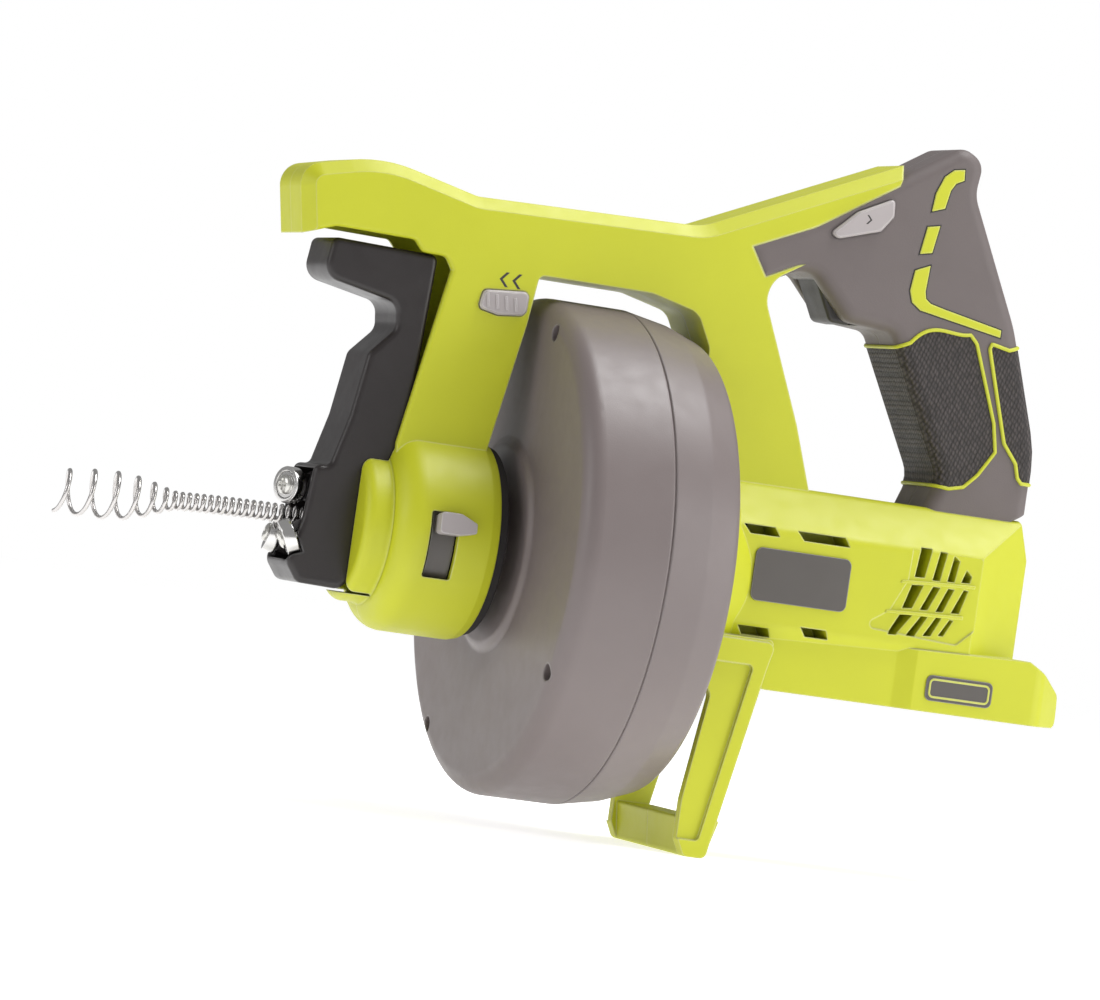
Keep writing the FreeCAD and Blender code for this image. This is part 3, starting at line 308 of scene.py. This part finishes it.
def wire(name, x, radius, turns, stands_for):
    """Round wire on a helix: at x its middle is radius away from the sagging cable axis, at 2 pi turns
    round it. The section is a circle across the helix's tangent."""
    angle = 2 * np.pi * turns
    out = np.stack([np.zeros_like(x), np.sin(angle), np.cos(angle)], axis=-1)
    line = np.stack([x, radius * out[:, 1], radius * out[:, 2] + sag(x)], axis=-1)
    along = np.gradient(line, axis=0)
    along /= np.linalg.norm(along, axis=1, keepdims=True)
    out -= along * (out * along).sum(axis=1, keepdims=True)
    out /= np.linalg.norm(out, axis=1, keepdims=True)
    side = np.cross(along, out)
    phi = np.linspace(0, 2 * np.pi, WIRE_SIDES, endpoint=False)[None, :, None]
    grid = line[:, None] + WIRE_R * (np.cos(phi) * out[:, None] + np.sin(phi) * side[:, None])
    grid = place(grid[..., 0], grid[..., 1], grid[..., 2])
    skin(name, grid, CABLE_STEEL, "cable", stands_for, sharp=80)


STEPS_PER_TURN = 22
lead_x = np.linspace(LEAD_START, LEAD_END, int((LEAD_END - LEAD_START) / CABLE_PITCH * STEPS_PER_TURN))
lead_turns = (lead_x - LEAD_START) / CABLE_PITCH
wire("cable_wire", lead_x, np.full_like(lead_x, CABLE_R - WIRE_R), lead_turns, ("cable_lead",))

# The bulb: pitch and outer radius at shares of its length, the radius smoothed over a window of its steps
TIP_STEPS = 220
WINDOW = 15
tip_x = np.linspace(LEAD_END, TIP_END - WIRE_R, TIP_STEPS)
tip_share = (tip_x - LEAD_END) / (TIP_END - LEAD_END)
tip_pitch = np.interp(tip_share, (0, 0.1, 0.25, 0.45, 0.65, 1), (CABLE_PITCH, 4.6, 6.9, 8.9, 10.1, 10.4))
tip_r = np.interp(tip_share, (0, 0.1, 0.25, 0.42, 0.62, 0.82, 1), (CABLE_R, 5.4, 8.0, 9.9, 10.3, 9.6, 9.1))
tip_r = np.convolve(np.pad(tip_r, WINDOW // 2, mode="edge"), np.ones(WINDOW) / WINDOW, mode="valid")
tip_turns = lead_turns[-1] + np.concatenate([[0], np.cumsum(np.diff(tip_x) / tip_pitch[1:])])
wire("bulb_wire", tip_x, tip_r - WIRE_R, tip_turns, ("auger_tip",))

# ---------------------------------------------------------------- feed rollers
# Three small ball bearings, each on a pan head screw, skewed to the cable so that its turning drives
# it in or out. Ground outer races, recessed shields and zinc-plated screws with a cross recess.
BEARING_STEEL = finish("ground bearing steel", (0.66, 0.65, 0.64), 0.18, grain=0.0008, depth=0.000004,
                       metal=1.0, gloss_spread=0.06, edge=0.0003)
ZINC = finish("zinc plate", (0.62, 0.61, 0.58), 0.26, grain=0.0004, depth=0.00001, metal=1.0, edge=0.0003)
TURNED_STEPS = 72


def across(axis):
    """Two unit vectors square to an axis and to each other."""
    first = np.cross(axis, (0.0, 1.0, 0.0))
    first /= np.linalg.norm(first)
    return first, np.cross(axis, first)


def turned(name, profile, centre, axis, material, body, stands_for):
    """Closed profile of (along, radius) in millimetres, turned about an axis through a centre."""
    first, second = across(axis)
    phi = np.linspace(0, 2 * np.pi, TURNED_STEPS, endpoint=False)[None, :, None]
    profile = np.array(profile, float)
    grid = (centre + MM * profile[:, 0, None, None] * axis
            + MM * profile[:, 1, None, None] * (np.cos(phi) * first + np.sin(phi) * second))
    skin(name, grid, material, body, stands_for, round_along=True, sharp=30)


# The screw's head, its shank as a share of the head's radius, how far the dome falls and the recess
# goes down as shares of the head's height, and the recess's four arms
SCREW_HEAD_R = 3.9
SCREW_HEAD_HEIGHT = 1.9
SHANK_SHARE = 0.45
SHANK_LENGTH = 6.5
DOME_DROP = 0.55
RECESS_SHARE = 0.5
ARM_HALF = 0.16 * SCREW_HEAD_R
ARM_REACH = 0.62 * SCREW_HEAD_R
HEAD_RINGS = 40
HEAD_STEPS = 96


def pan_head(name, centre, axis, material, body, stands_for):
    """Pan head: a dome whose height falls with the fourth power of the radius, with a cross recess
    of two crossing bars; below it a plain shank. The recess is full deep to under half a bar's half
    width and gone a little past it, and rises over the last third of its reach."""
    first, second = across(axis)
    share = np.linspace(0, 1, HEAD_RINGS)[:, None]
    phi = np.linspace(0, 2 * np.pi, HEAD_STEPS, endpoint=False)[None, :]
    dome = SCREW_HEAD_HEIGHT * (1 - DOME_DROP * share ** 4)
    u, v = SCREW_HEAD_R * share * np.cos(phi), SCREW_HEAD_R * share * np.sin(phi)
    arm = np.minimum(np.abs(u), np.abs(v)) / ARM_HALF
    reach = np.maximum(np.abs(u), np.abs(v)) / ARM_REACH
    recess = np.clip(1.6 - 1.4 * arm, 0, 1) * np.clip((1 - reach) * 3, 0, 1)
    rows = [(u, v, dome - RECESS_SHARE * SCREW_HEAD_HEIGHT * recess)]
    for scale, level in ((1.0, 0.0), (SHANK_SHARE, 0.0), (SHANK_SHARE, -SHANK_LENGTH), (0.0, -SHANK_LENGTH)):
        radius = scale * SCREW_HEAD_R
        rows.append((radius * np.cos(phi), radius * np.sin(phi), np.full_like(phi, level)))
    u, v, w = (np.concatenate([row[k] for row in rows], axis=0)[..., None] for k in range(3))
    grid = centre + MM * (w * axis + u * first + v * second)
    skin(name, grid, material, body, stands_for, sharp=35)


joint_of = {joint["name"]: joint for joint in frame["joints"]}
ROLLER_HALF = 2.5
RACE = ((-ROLLER_HALF, 5.75), (-ROLLER_HALF, 7.0), (-2.35, 7.35), (-2.0, 7.5), (2.0, 7.5), (2.35, 7.35),
        (ROLLER_HALF, 7.0), (ROLLER_HALF, 5.75), (2.1, 5.5), (-2.1, 5.5))
HUB = ((-ROLLER_HALF, 2.55), (-ROLLER_HALF, 3.75), (-2.2, 3.95), (-2.15, 5.35), (2.15, 5.35), (2.2, 3.95),
       (ROLLER_HALF, 3.75), (ROLLER_HALF, 2.55))
for roller, joint, race_body, hub_body in (("upper", "top_roller_spin", "roller_top", "body"),
                                           ("left", "left_roller_spin", "roller_left", "lever"),
                                           ("right", "right_roller_spin", "roller_right", "lever")):
    centre = np.array(joint_of[joint]["pos_m"])
    axis = np.array(joint_of[joint]["axis"])
    inner, screw = (("upper_roller_inner", "upper_roller_screw") if roller == "upper"
                    else ("lower_roller_inner", "lower_roller_screw"))
    turned(roller + "_race", RACE, centre, axis, BEARING_STEEL, race_body, (roller + "_roller",))
    turned(roller + "_hub", HUB, centre, axis, BEARING_STEEL, hub_body, (inner,))
    pan_head(roller + "_screw", centre + MM * ROLLER_HALF * axis, axis, ZINC, hub_body, (screw,))

# ---------------------------------------------------------------- grip panels
# Two textured rubber pads, one round the finger side of the grip and one round the palm side, each
# edged by a thin line of green showing through from the housing underneath.


def half_width(node):
    """Distance of a CAD node's left side from the machine's middle plane, in millimetres."""
    return (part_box(node)[1].y - AXIS[1]) / MM


# The grip's half width, the radius of its long edges, how far the pads stand proud of it, and the
# lines and steps of their mesh
GRIP_HALF = half_width("left_grip")
GRIP_ROUND = 5.5
LIFT = 0.35
PAD_LINES = 60
FLANK_STEPS = 18
CORNER_STEPS = 9

# Pips per metre of the pads' pattern before it is stretched, its slant, and the distances from a pip's
# middle, in pips, where the painted shade between the pips starts and is darkest
PIP_SCALE = 720.0
PIP_SLANT = math.radians(28)
PIP_STRETCH = (1.0, 0.75, 0.6)
PIP_SHADE_START = 0.25
PIP_SHADE_FULL = 0.60


def knurled_rubber():
    """Grip rubber with a fine woven pattern of slanted pips, deep between them, with painted shade in the
    hollows between them.
    """
    material = finish("textured rubber", (0.070, 0.057, 0.055), 0.66, grain=0.0004, depth=0.00005, edge=0.001)
    tree = material.node_tree
    make, link = tree.nodes.new, tree.links.new
    shader = tree.nodes["Principled BSDF"]
    coordinates, turn, pips = (make("ShaderNodeTexCoord"), make("ShaderNodeMapping"),
                               make("ShaderNodeTexVoronoi"))
    bump, valley_shade, shaded = make("ShaderNodeBump"), make("ShaderNodeMapRange"), make("ShaderNodeMix")
    turn.inputs["Rotation"].default_value = (0.0, PIP_SLANT, 0.0)
    turn.inputs["Scale"].default_value = PIP_STRETCH
    pips.inputs["Scale"].default_value = PIP_SCALE
    pips.inputs["Randomness"].default_value = 0.25
    bump.inputs["Distance"].default_value = 0.0010
    bump.invert = True
    valley_shade.inputs["From Min"].default_value = PIP_SHADE_START
    valley_shade.inputs["From Max"].default_value = PIP_SHADE_FULL
    shaded.data_type = "RGBA"
    # Colour of the painted shade in the hollows between the pips
    shaded.inputs["B"].default_value = (0.022, 0.018, 0.017, 1)
    link(coordinates.outputs["Object"], turn.inputs["Vector"])
    link(turn.outputs["Vector"], pips.inputs["Vector"])
    link(pips.outputs["Distance"], bump.inputs["Height"])
    link(pips.outputs["Distance"], valley_shade.inputs["Value"])
    link(valley_shade.outputs["Result"], shaded.inputs["Factor"])
    link(shader.inputs["Base Color"].links[0].from_socket, shaded.inputs["A"])
    link(shaded.outputs["Result"], shader.inputs["Base Color"])
    link(shader.inputs["Normal"].links[0].from_socket, bump.inputs["Normal"])
    link(bump.outputs["Normal"], shader.inputs["Normal"])
    return material


def along_line(points, count):
    """Points spaced evenly along a drawn line."""
    points = np.array(points, float)
    reach = np.concatenate([[0], np.cumsum(np.linalg.norm(np.diff(points, axis=0), axis=1))])
    even = np.linspace(0, reach[-1], count)
    return np.stack([np.interp(even, reach, points[:, k]) for k in range(2)], axis=-1)


def pad_grid(side_line, edge_line, outward, bulge):
    """Sheet that runs from a line on the left flank, round the grip's edge, to the same line on the
    right flank: straight on the flank, a quarter circle at each corner, straight across the edge. Its
    upper lines rise on the flank by a hump of the share squared times the rest, bulge high."""
    flank = along_line(side_line, PAD_LINES)
    edge = along_line(edge_line, PAD_LINES)
    heading = np.gradient(edge, axis=0)
    heading /= np.linalg.norm(heading, axis=1, keepdims=True)
    normal = outward * np.stack([heading[:, 1], -heading[:, 0]], axis=-1)
    start = edge - GRIP_ROUND * normal
    share = np.linspace(0, 1, FLANK_STEPS)[None, :, None]
    rise = np.linspace(0, 1, PAD_LINES)[:, None] ** 6
    side = flank[:, None] * (1 - share) + start[:, None] * share
    hump = 27 / 4 * (share ** 2 * (1 - share))[..., 0]
    side[..., 1] += bulge * rise * hump
    turn = np.linspace(0, np.pi / 2, CORNER_STEPS)[None, 1:]
    round_out = (GRIP_ROUND + LIFT) * np.sin(turn)
    corner = start[:, None] + round_out[..., None] * normal[:, None]
    corner_y = GRIP_HALF - GRIP_ROUND + (GRIP_ROUND + LIFT) * np.cos(turn)
    flank_y = np.full((PAD_LINES, FLANK_STEPS), GRIP_HALF + LIFT)
    xz = np.concatenate([side, corner], axis=1)
    y = np.concatenate([flank_y, np.repeat(corner_y, PAD_LINES, axis=0)], axis=1)
    xz = np.concatenate([xz, xz[:, ::-1]], axis=1)
    y = np.concatenate([y, -y[:, ::-1]], axis=1)
    return place(xz[..., 0], y, xz[..., 1])


PIPING_R = 0.8


def piping(name, grid):
    """Thin round bead of the green housing along the border of a pad's grid."""
    loop = np.concatenate([grid[0], grid[1:-1, -1], grid[-1, ::-1], grid[-2:0:-1, 0]], axis=0)
    heading = np.roll(loop, -1, axis=0) - np.roll(loop, 1, axis=0)
    heading /= np.linalg.norm(heading, axis=1, keepdims=True)
    centre = grid.reshape(-1, 3).mean(axis=0)
    out = loop - centre
    out -= heading * (out * heading).sum(axis=1, keepdims=True)
    out /= np.linalg.norm(out, axis=1, keepdims=True)
    side = np.cross(heading, out)
    phi = np.linspace(0, 2 * np.pi, 8, endpoint=False)[None, :, None]
    tube = loop[:, None] + MM * PIPING_R * (np.cos(phi) * out[:, None] + np.sin(phi) * side[:, None])
    skin(name, tube, GREEN, "body", round_along=True, sharp=80)


KNURL = knurled_rubber()
FINGER_SIDE = ((-156.4, 51.0), (-162.0, 56.7), (-168.6, 67.3), (-166.1, 79.3), (-153.4, 111.0),
               (-150.1, 114.1))
FINGER_EDGE = ((-144.4, 50.0), (-144.7, 53.0), (-144.2, 56.0), (-143.1, 58.5), (-131.0, 81.5),
               (-118.9, 104.5))
PALM_SIDE = ((-180.3, 58.0), (-178.5, 63.9), (-172.0, 71.6), (-159.6, 109.6), (-160.4, 111.8))
PALM_EDGE = ((-187.8, 56.0), (-187.8, 62.0), (-187.1, 70.0), (-185.1, 78.0), (-173.7, 112.0))
for pad, side_line, edge_line, outward, bulge in (("finger_pad", FINGER_SIDE, FINGER_EDGE, 1, 4.2),
                                                  ("palm_pad", PALM_SIDE, PALM_EDGE, -1, 0.0)):
    grid = pad_grid(side_line, edge_line, outward, bulge)
    sheet = skin(pad, grid, KNURL, "body", round_across=False, sharp=60)
    thick = sheet.modifiers.new("thickness", "SOLIDIFY")
    thick.thickness = 0.9 * MM
    thick.offset = -1
    piping(pad + "_edge", grid)

# ---------------------------------------------------------------- green inlays
# Three dashes of the green housing that show through windows in the rubber below the selector, on
# both flanks, almost flush with the rubber. A thin black band round each is the gap's painted shadow.
FLANKS = ((1, "left"), (-1, "right"))


def inlay(name, outline, low, high, side, material, body, bevel=0.25):
    """Flat plate from an outline in x and z, between two distances from the middle plane on one side."""
    outline = np.array(outline, float)
    rows = np.array([low, high]) * side
    grid = place(outline[None, :, 0], rows[:, None], outline[None, :, 1])
    piece = skin(name, grid, material, body, sharp=20)
    rounder = piece.modifiers.new("edge round", "BEVEL")
    rounder.width = bevel * MM
    rounder.segments = 2
    rounder.limit_method = "ANGLE"


DASHES = {
    "dash_top": ((-137.1, 181.5), (-137.5, 177.0), (-134.0, 175.2), (-132.1, 172.0), (-130.6, 164.2),
                 (-124.9, 162.2), (-125.6, 169.8), (-128.6, 177.3), (-132.4, 180.6)),
    "dash_middle": ((-124.0, 155.6), (-129.6, 156.8), (-127.7, 145.2), (-122.2, 144.0)),
    "dash_long": ((-121.2, 137.0), (-127.8, 139.9), (-127.2, 129.0), (-127.9, 126.0), (-130.3, 124.3),
                  (-136.9, 122.9), (-163.6, 118.0), (-163.6, 114.9), (-126.0, 120.9), (-121.8, 123.7),
                  (-120.2, 128.4)),
}
# Black band round each dash: a painted shadow of the gap
GAP_SHADOW = finish("shadow rim", (0.012, 0.010, 0.010), 0.7)
RIM_WIDTH = 0.55
RIM_PROUD = 0.12
DASH_PROUD = 0.45
SUNK = 1.0


def grown(outline, by):
    """Outline with each corner pushed out by an equal distance from its two edges."""
    points = np.array(outline, float)
    ahead = np.roll(points, -1, axis=0) - points
    ahead /= np.linalg.norm(ahead, axis=1, keepdims=True)
    behind = np.roll(ahead, 1, axis=0)
    x, z = points.T
    turn = np.sign(np.sum(x * np.roll(z, -1) - z * np.roll(x, -1)))
    out = turn * np.stack([ahead[:, 1] + behind[:, 1], -ahead[:, 0] - behind[:, 0]], axis=-1)
    return points + by * out / (0.5 * np.sum(out * out, axis=1, keepdims=True))


for dash, outline in DASHES.items():
    for side, flank in FLANKS:
        inlay(flank + "_" + dash + "_rim", grown(outline, RIM_WIDTH), GRIP_HALF - SUNK,
              GRIP_HALF + RIM_PROUD, side, GAP_SHADOW, "body", bevel=0.05)
        inlay(flank + "_" + dash, outline, GRIP_HALF - SUNK, GRIP_HALF + DASH_PROUD, side, GREEN,
              "body")

# ---------------------------------------------------------------- grille bars
# Two slim ribs that run across the slanted rear vents on both flanks and stand a little proud.
BARREL_HALF = 37.5
for side, flank in FLANKS:
    for bar, outline in (("upper", ((-126.8, 7.9), (-127.6, 9.3), (-160.6, 11.0), (-160.6, 9.4))),
                         ("lower", ((-121.8, -5.2), (-122.4, -3.7), (-157.0, -2.3), (-157.0, -3.9)))):
        inlay("%s_%s_grille_bar" % (flank, bar), outline, BARREL_HALF - 1.5, BARREL_HALF + 0.5, side, GREEN,
              "body", bevel=0.3)

# ---------------------------------------------------------------- button ribs
# Slanted finger ribs moulded on the auto-feed button, so that a wet thumb can push it.
BUTTON_HALF = half_width("autofeed_button")
RIBS = 4
RIB_START = 49.4
RIB_PITCH = 4.0
RIB_WIDTH = 1.3
RIB_BOTTOM = 94.2
for side, flank in FLANKS:
    for rib in range(RIBS):
        x = RIB_START + RIB_PITCH * rib
        top = 99.6 + 0.2 * rib
        outline = ((x, RIB_BOTTOM), (x + RIB_WIDTH, RIB_BOTTOM), (x + 2 * RIB_WIDTH, top),
                   (x + RIB_WIDTH, top + 0.2))
        inlay("%s_button_rib_%d" % (flank, rib + 1), outline, BUTTON_HALF - 0.4, BUTTON_HALF + 0.45, side,
              CONTROL_GREY, "autofeed", bevel=0.2)

# ---------------------------------------------------------------- printed marks and badge frames
# Plain chevrons pad-printed in dark ink over the auto-feed button and on the selector, and a thin green
# frame let into each battery badge. They carry no words.
INK = finish("pad printing ink", (0.030, 0.026, 0.024), 0.5, grain=0.0003, depth=0.00001, edge=0.0002)
BEAM_HALF = 19.0
SELECTOR_HALF = half_width("direction_selector")
BADGE_HALF = half_width("base_badges")


def chevron(x, z, size, heading):
    """Outline of a V of even width with its tip at x, z, open towards the heading (1 or -1 along x)."""
    arm, width = 0.9 * size, 0.45 * size
    return ((x, z), (x + heading * arm, z + size), (x + heading * (arm + width), z + size),
            (x + heading * width, z), (x + heading * (arm + width), z - size), (x + heading * arm, z - size))


def rounded(x_low, x_high, z_low, z_high, radius):
    """Outline of a rectangle with a quarter circle of six points at each corner."""
    turn = np.linspace(0, np.pi / 2, 6)
    corners = ((x_high - radius, z_high - radius), (x_low + radius, z_high - radius),
               (x_low + radius, z_low + radius), (x_high - radius, z_low + radius))
    arcs = []
    for quarter, (x, z) in enumerate(corners):
        phi = turn + quarter * np.pi / 2
        arcs.append(np.stack([x + radius * np.cos(phi), z + radius * np.sin(phi)], axis=-1))
    return np.concatenate(arcs)


def frame_band(name, outer, inner, low, high, side):
    """Flat green frame between two outlines of equally many points, as a closed square section."""
    levels = ((outer, low), (outer, high), (inner, high), (inner, low))
    grid = np.stack([place(line[:, 0], side * level, line[:, 1]) for line, level in levels], axis=1)
    skin(name, grid, GREEN, "body", round_along=True, sharp=20)


selector_low, selector_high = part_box("direction_selector")
selector_x = ((selector_low.x + selector_high.x) / 2 - AXIS[0]) / MM
selector_z = ((selector_low.z + selector_high.z) / 2 - AXIS[2]) / MM
BADGE_REAR, BADGE_FRONT, BADGE_BOTTOM, BADGE_TOP = -173.3, -145.7, -37.4, -29.2
BADGE_ROUND = 2.2
BAND = 0.9
badge_outer = rounded(BADGE_REAR, BADGE_FRONT, BADGE_BOTTOM, BADGE_TOP, BADGE_ROUND)
badge_inner = rounded(BADGE_REAR + BAND, BADGE_FRONT - BAND, BADGE_BOTTOM + BAND, BADGE_TOP - BAND,
                      BADGE_ROUND - BAND)
FEED_MARK_Z = 106.5
for side, flank in FLANKS:
    for mark, x in (("front", 58.5), ("rear", 53.0)):
        inlay("%s_feed_mark_%s" % (flank, mark), chevron(x, FEED_MARK_Z, 3.0, -1), BEAM_HALF - 0.3,
              BEAM_HALF + 0.08, side, INK, "body", bevel=0.02)
    inlay(flank + "_selector_mark", chevron(selector_x - 3.0, selector_z, 1.9, 1), SELECTOR_HALF - 0.4,
          SELECTOR_HALF + 0.05, side, INK, "selector", bevel=0.02)
    frame_band(flank + "_badge_frame", badge_outer, badge_inner, BADGE_HALF - 0.3, BADGE_HALF + 0.12, side)

# ---------------------------------------------------------------- floor, lights and camera
# A plain white floor that glows a little, a soft key from above, a weak fill from the nose's side and a
# softbox behind on the left. The camera looks level at the drum's axis from the left and is rolled.
FLOOR_HALF = 6.0
corners = [(x * FLOOR_HALF, y * FLOOR_HALF, 0) for x, y in ((-1, -1), (1, -1), (1, 1), (-1, 1))]
floor = bpy.data.meshes.new("floor")
floor.from_pydata(corners, [], [(0, 1, 2, 3)])
floor_piece = bpy.data.objects.new("floor", floor)
bpy.context.scene.collection.objects.link(floor_piece)
paper = bpy.data.materials.new("white paper")
paper.use_nodes = True
for setting, value in (("Base Color", (0.86, 0.86, 0.86, 1)), ("Roughness", 0.9),
                       ("Emission Color", (1, 1, 1, 1)), ("Emission Strength", 0.68)):
    paper.node_tree.nodes["Principled BSDF"].inputs[setting].default_value = value
floor.materials.append(paper)

CENTRE = Vector(AXIS)


def softbox(name, direction, distance, size, power):
    """Square area light that faces the machine's middle."""
    light = bpy.data.lights.new(name, "AREA")
    light.size = size
    light.energy = power
    lamp = bpy.data.objects.new(name, light)
    lamp.location = CENTRE + Vector(direction).normalized() * distance
    lamp.rotation_euler = (CENTRE - lamp.location).to_track_quat("-Z", "Y").to_euler()
    bpy.context.scene.collection.objects.link(lamp)


softbox("key", (-0.4, 0.12, 1.0), 1.6, 0.9, 23)
softbox("front", (1.0, 0.15, 0.35), 1.8, 0.7, 5)
softbox("rear", (-1.0, 0.8, 0.30), 2.0, 1.0, 13)

# How bright the surroundings are as a light, and how bright they look behind the machine
SKY_LIGHT = 0.36
SKY_SEEN = 1.0
world = bpy.data.worlds.new("studio")
bpy.context.scene.world = world
world.use_nodes = True
sky = world.node_tree
rays, choose = sky.nodes.new("ShaderNodeLightPath"), sky.nodes.new("ShaderNodeMix")
choose.inputs["A"].default_value = SKY_LIGHT
choose.inputs["B"].default_value = SKY_SEEN
sky.links.new(rays.outputs["Is Camera Ray"], choose.inputs["Factor"])
sky.links.new(choose.outputs["Result"], sky.nodes["Background"].inputs["Strength"])
sky.nodes["Background"].inputs["Color"].default_value = (1, 1, 1, 1)

AZIMUTH = math.radians(20.249)
ROLL = math.radians(8.154)
DISTANCE = 2.5
back = Vector((math.sin(AZIMUTH), math.cos(AZIMUTH), 0))
level = Vector((-back.y, back.x, 0))
right = level * math.cos(ROLL) + Vector((0, 0, 1)) * math.sin(ROLL)
up = -level * math.sin(ROLL) + Vector((0, 0, 1)) * math.cos(ROLL)
lens = bpy.data.cameras.new("camera")
lens.lens = 199.22
lens.shift_x = -0.0277
lens.shift_y = 0.0511
camera = bpy.data.objects.new("camera", lens)
turned_to_view = Matrix((right, up, back)).transposed().to_4x4()
camera.matrix_world = Matrix.Translation(CENTRE + back * DISTANCE) @ turned_to_view
bpy.context.scene.collection.objects.link(camera)
bpy.context.scene.camera = camera
bpy.context.scene.view_settings.view_transform = "Standard"
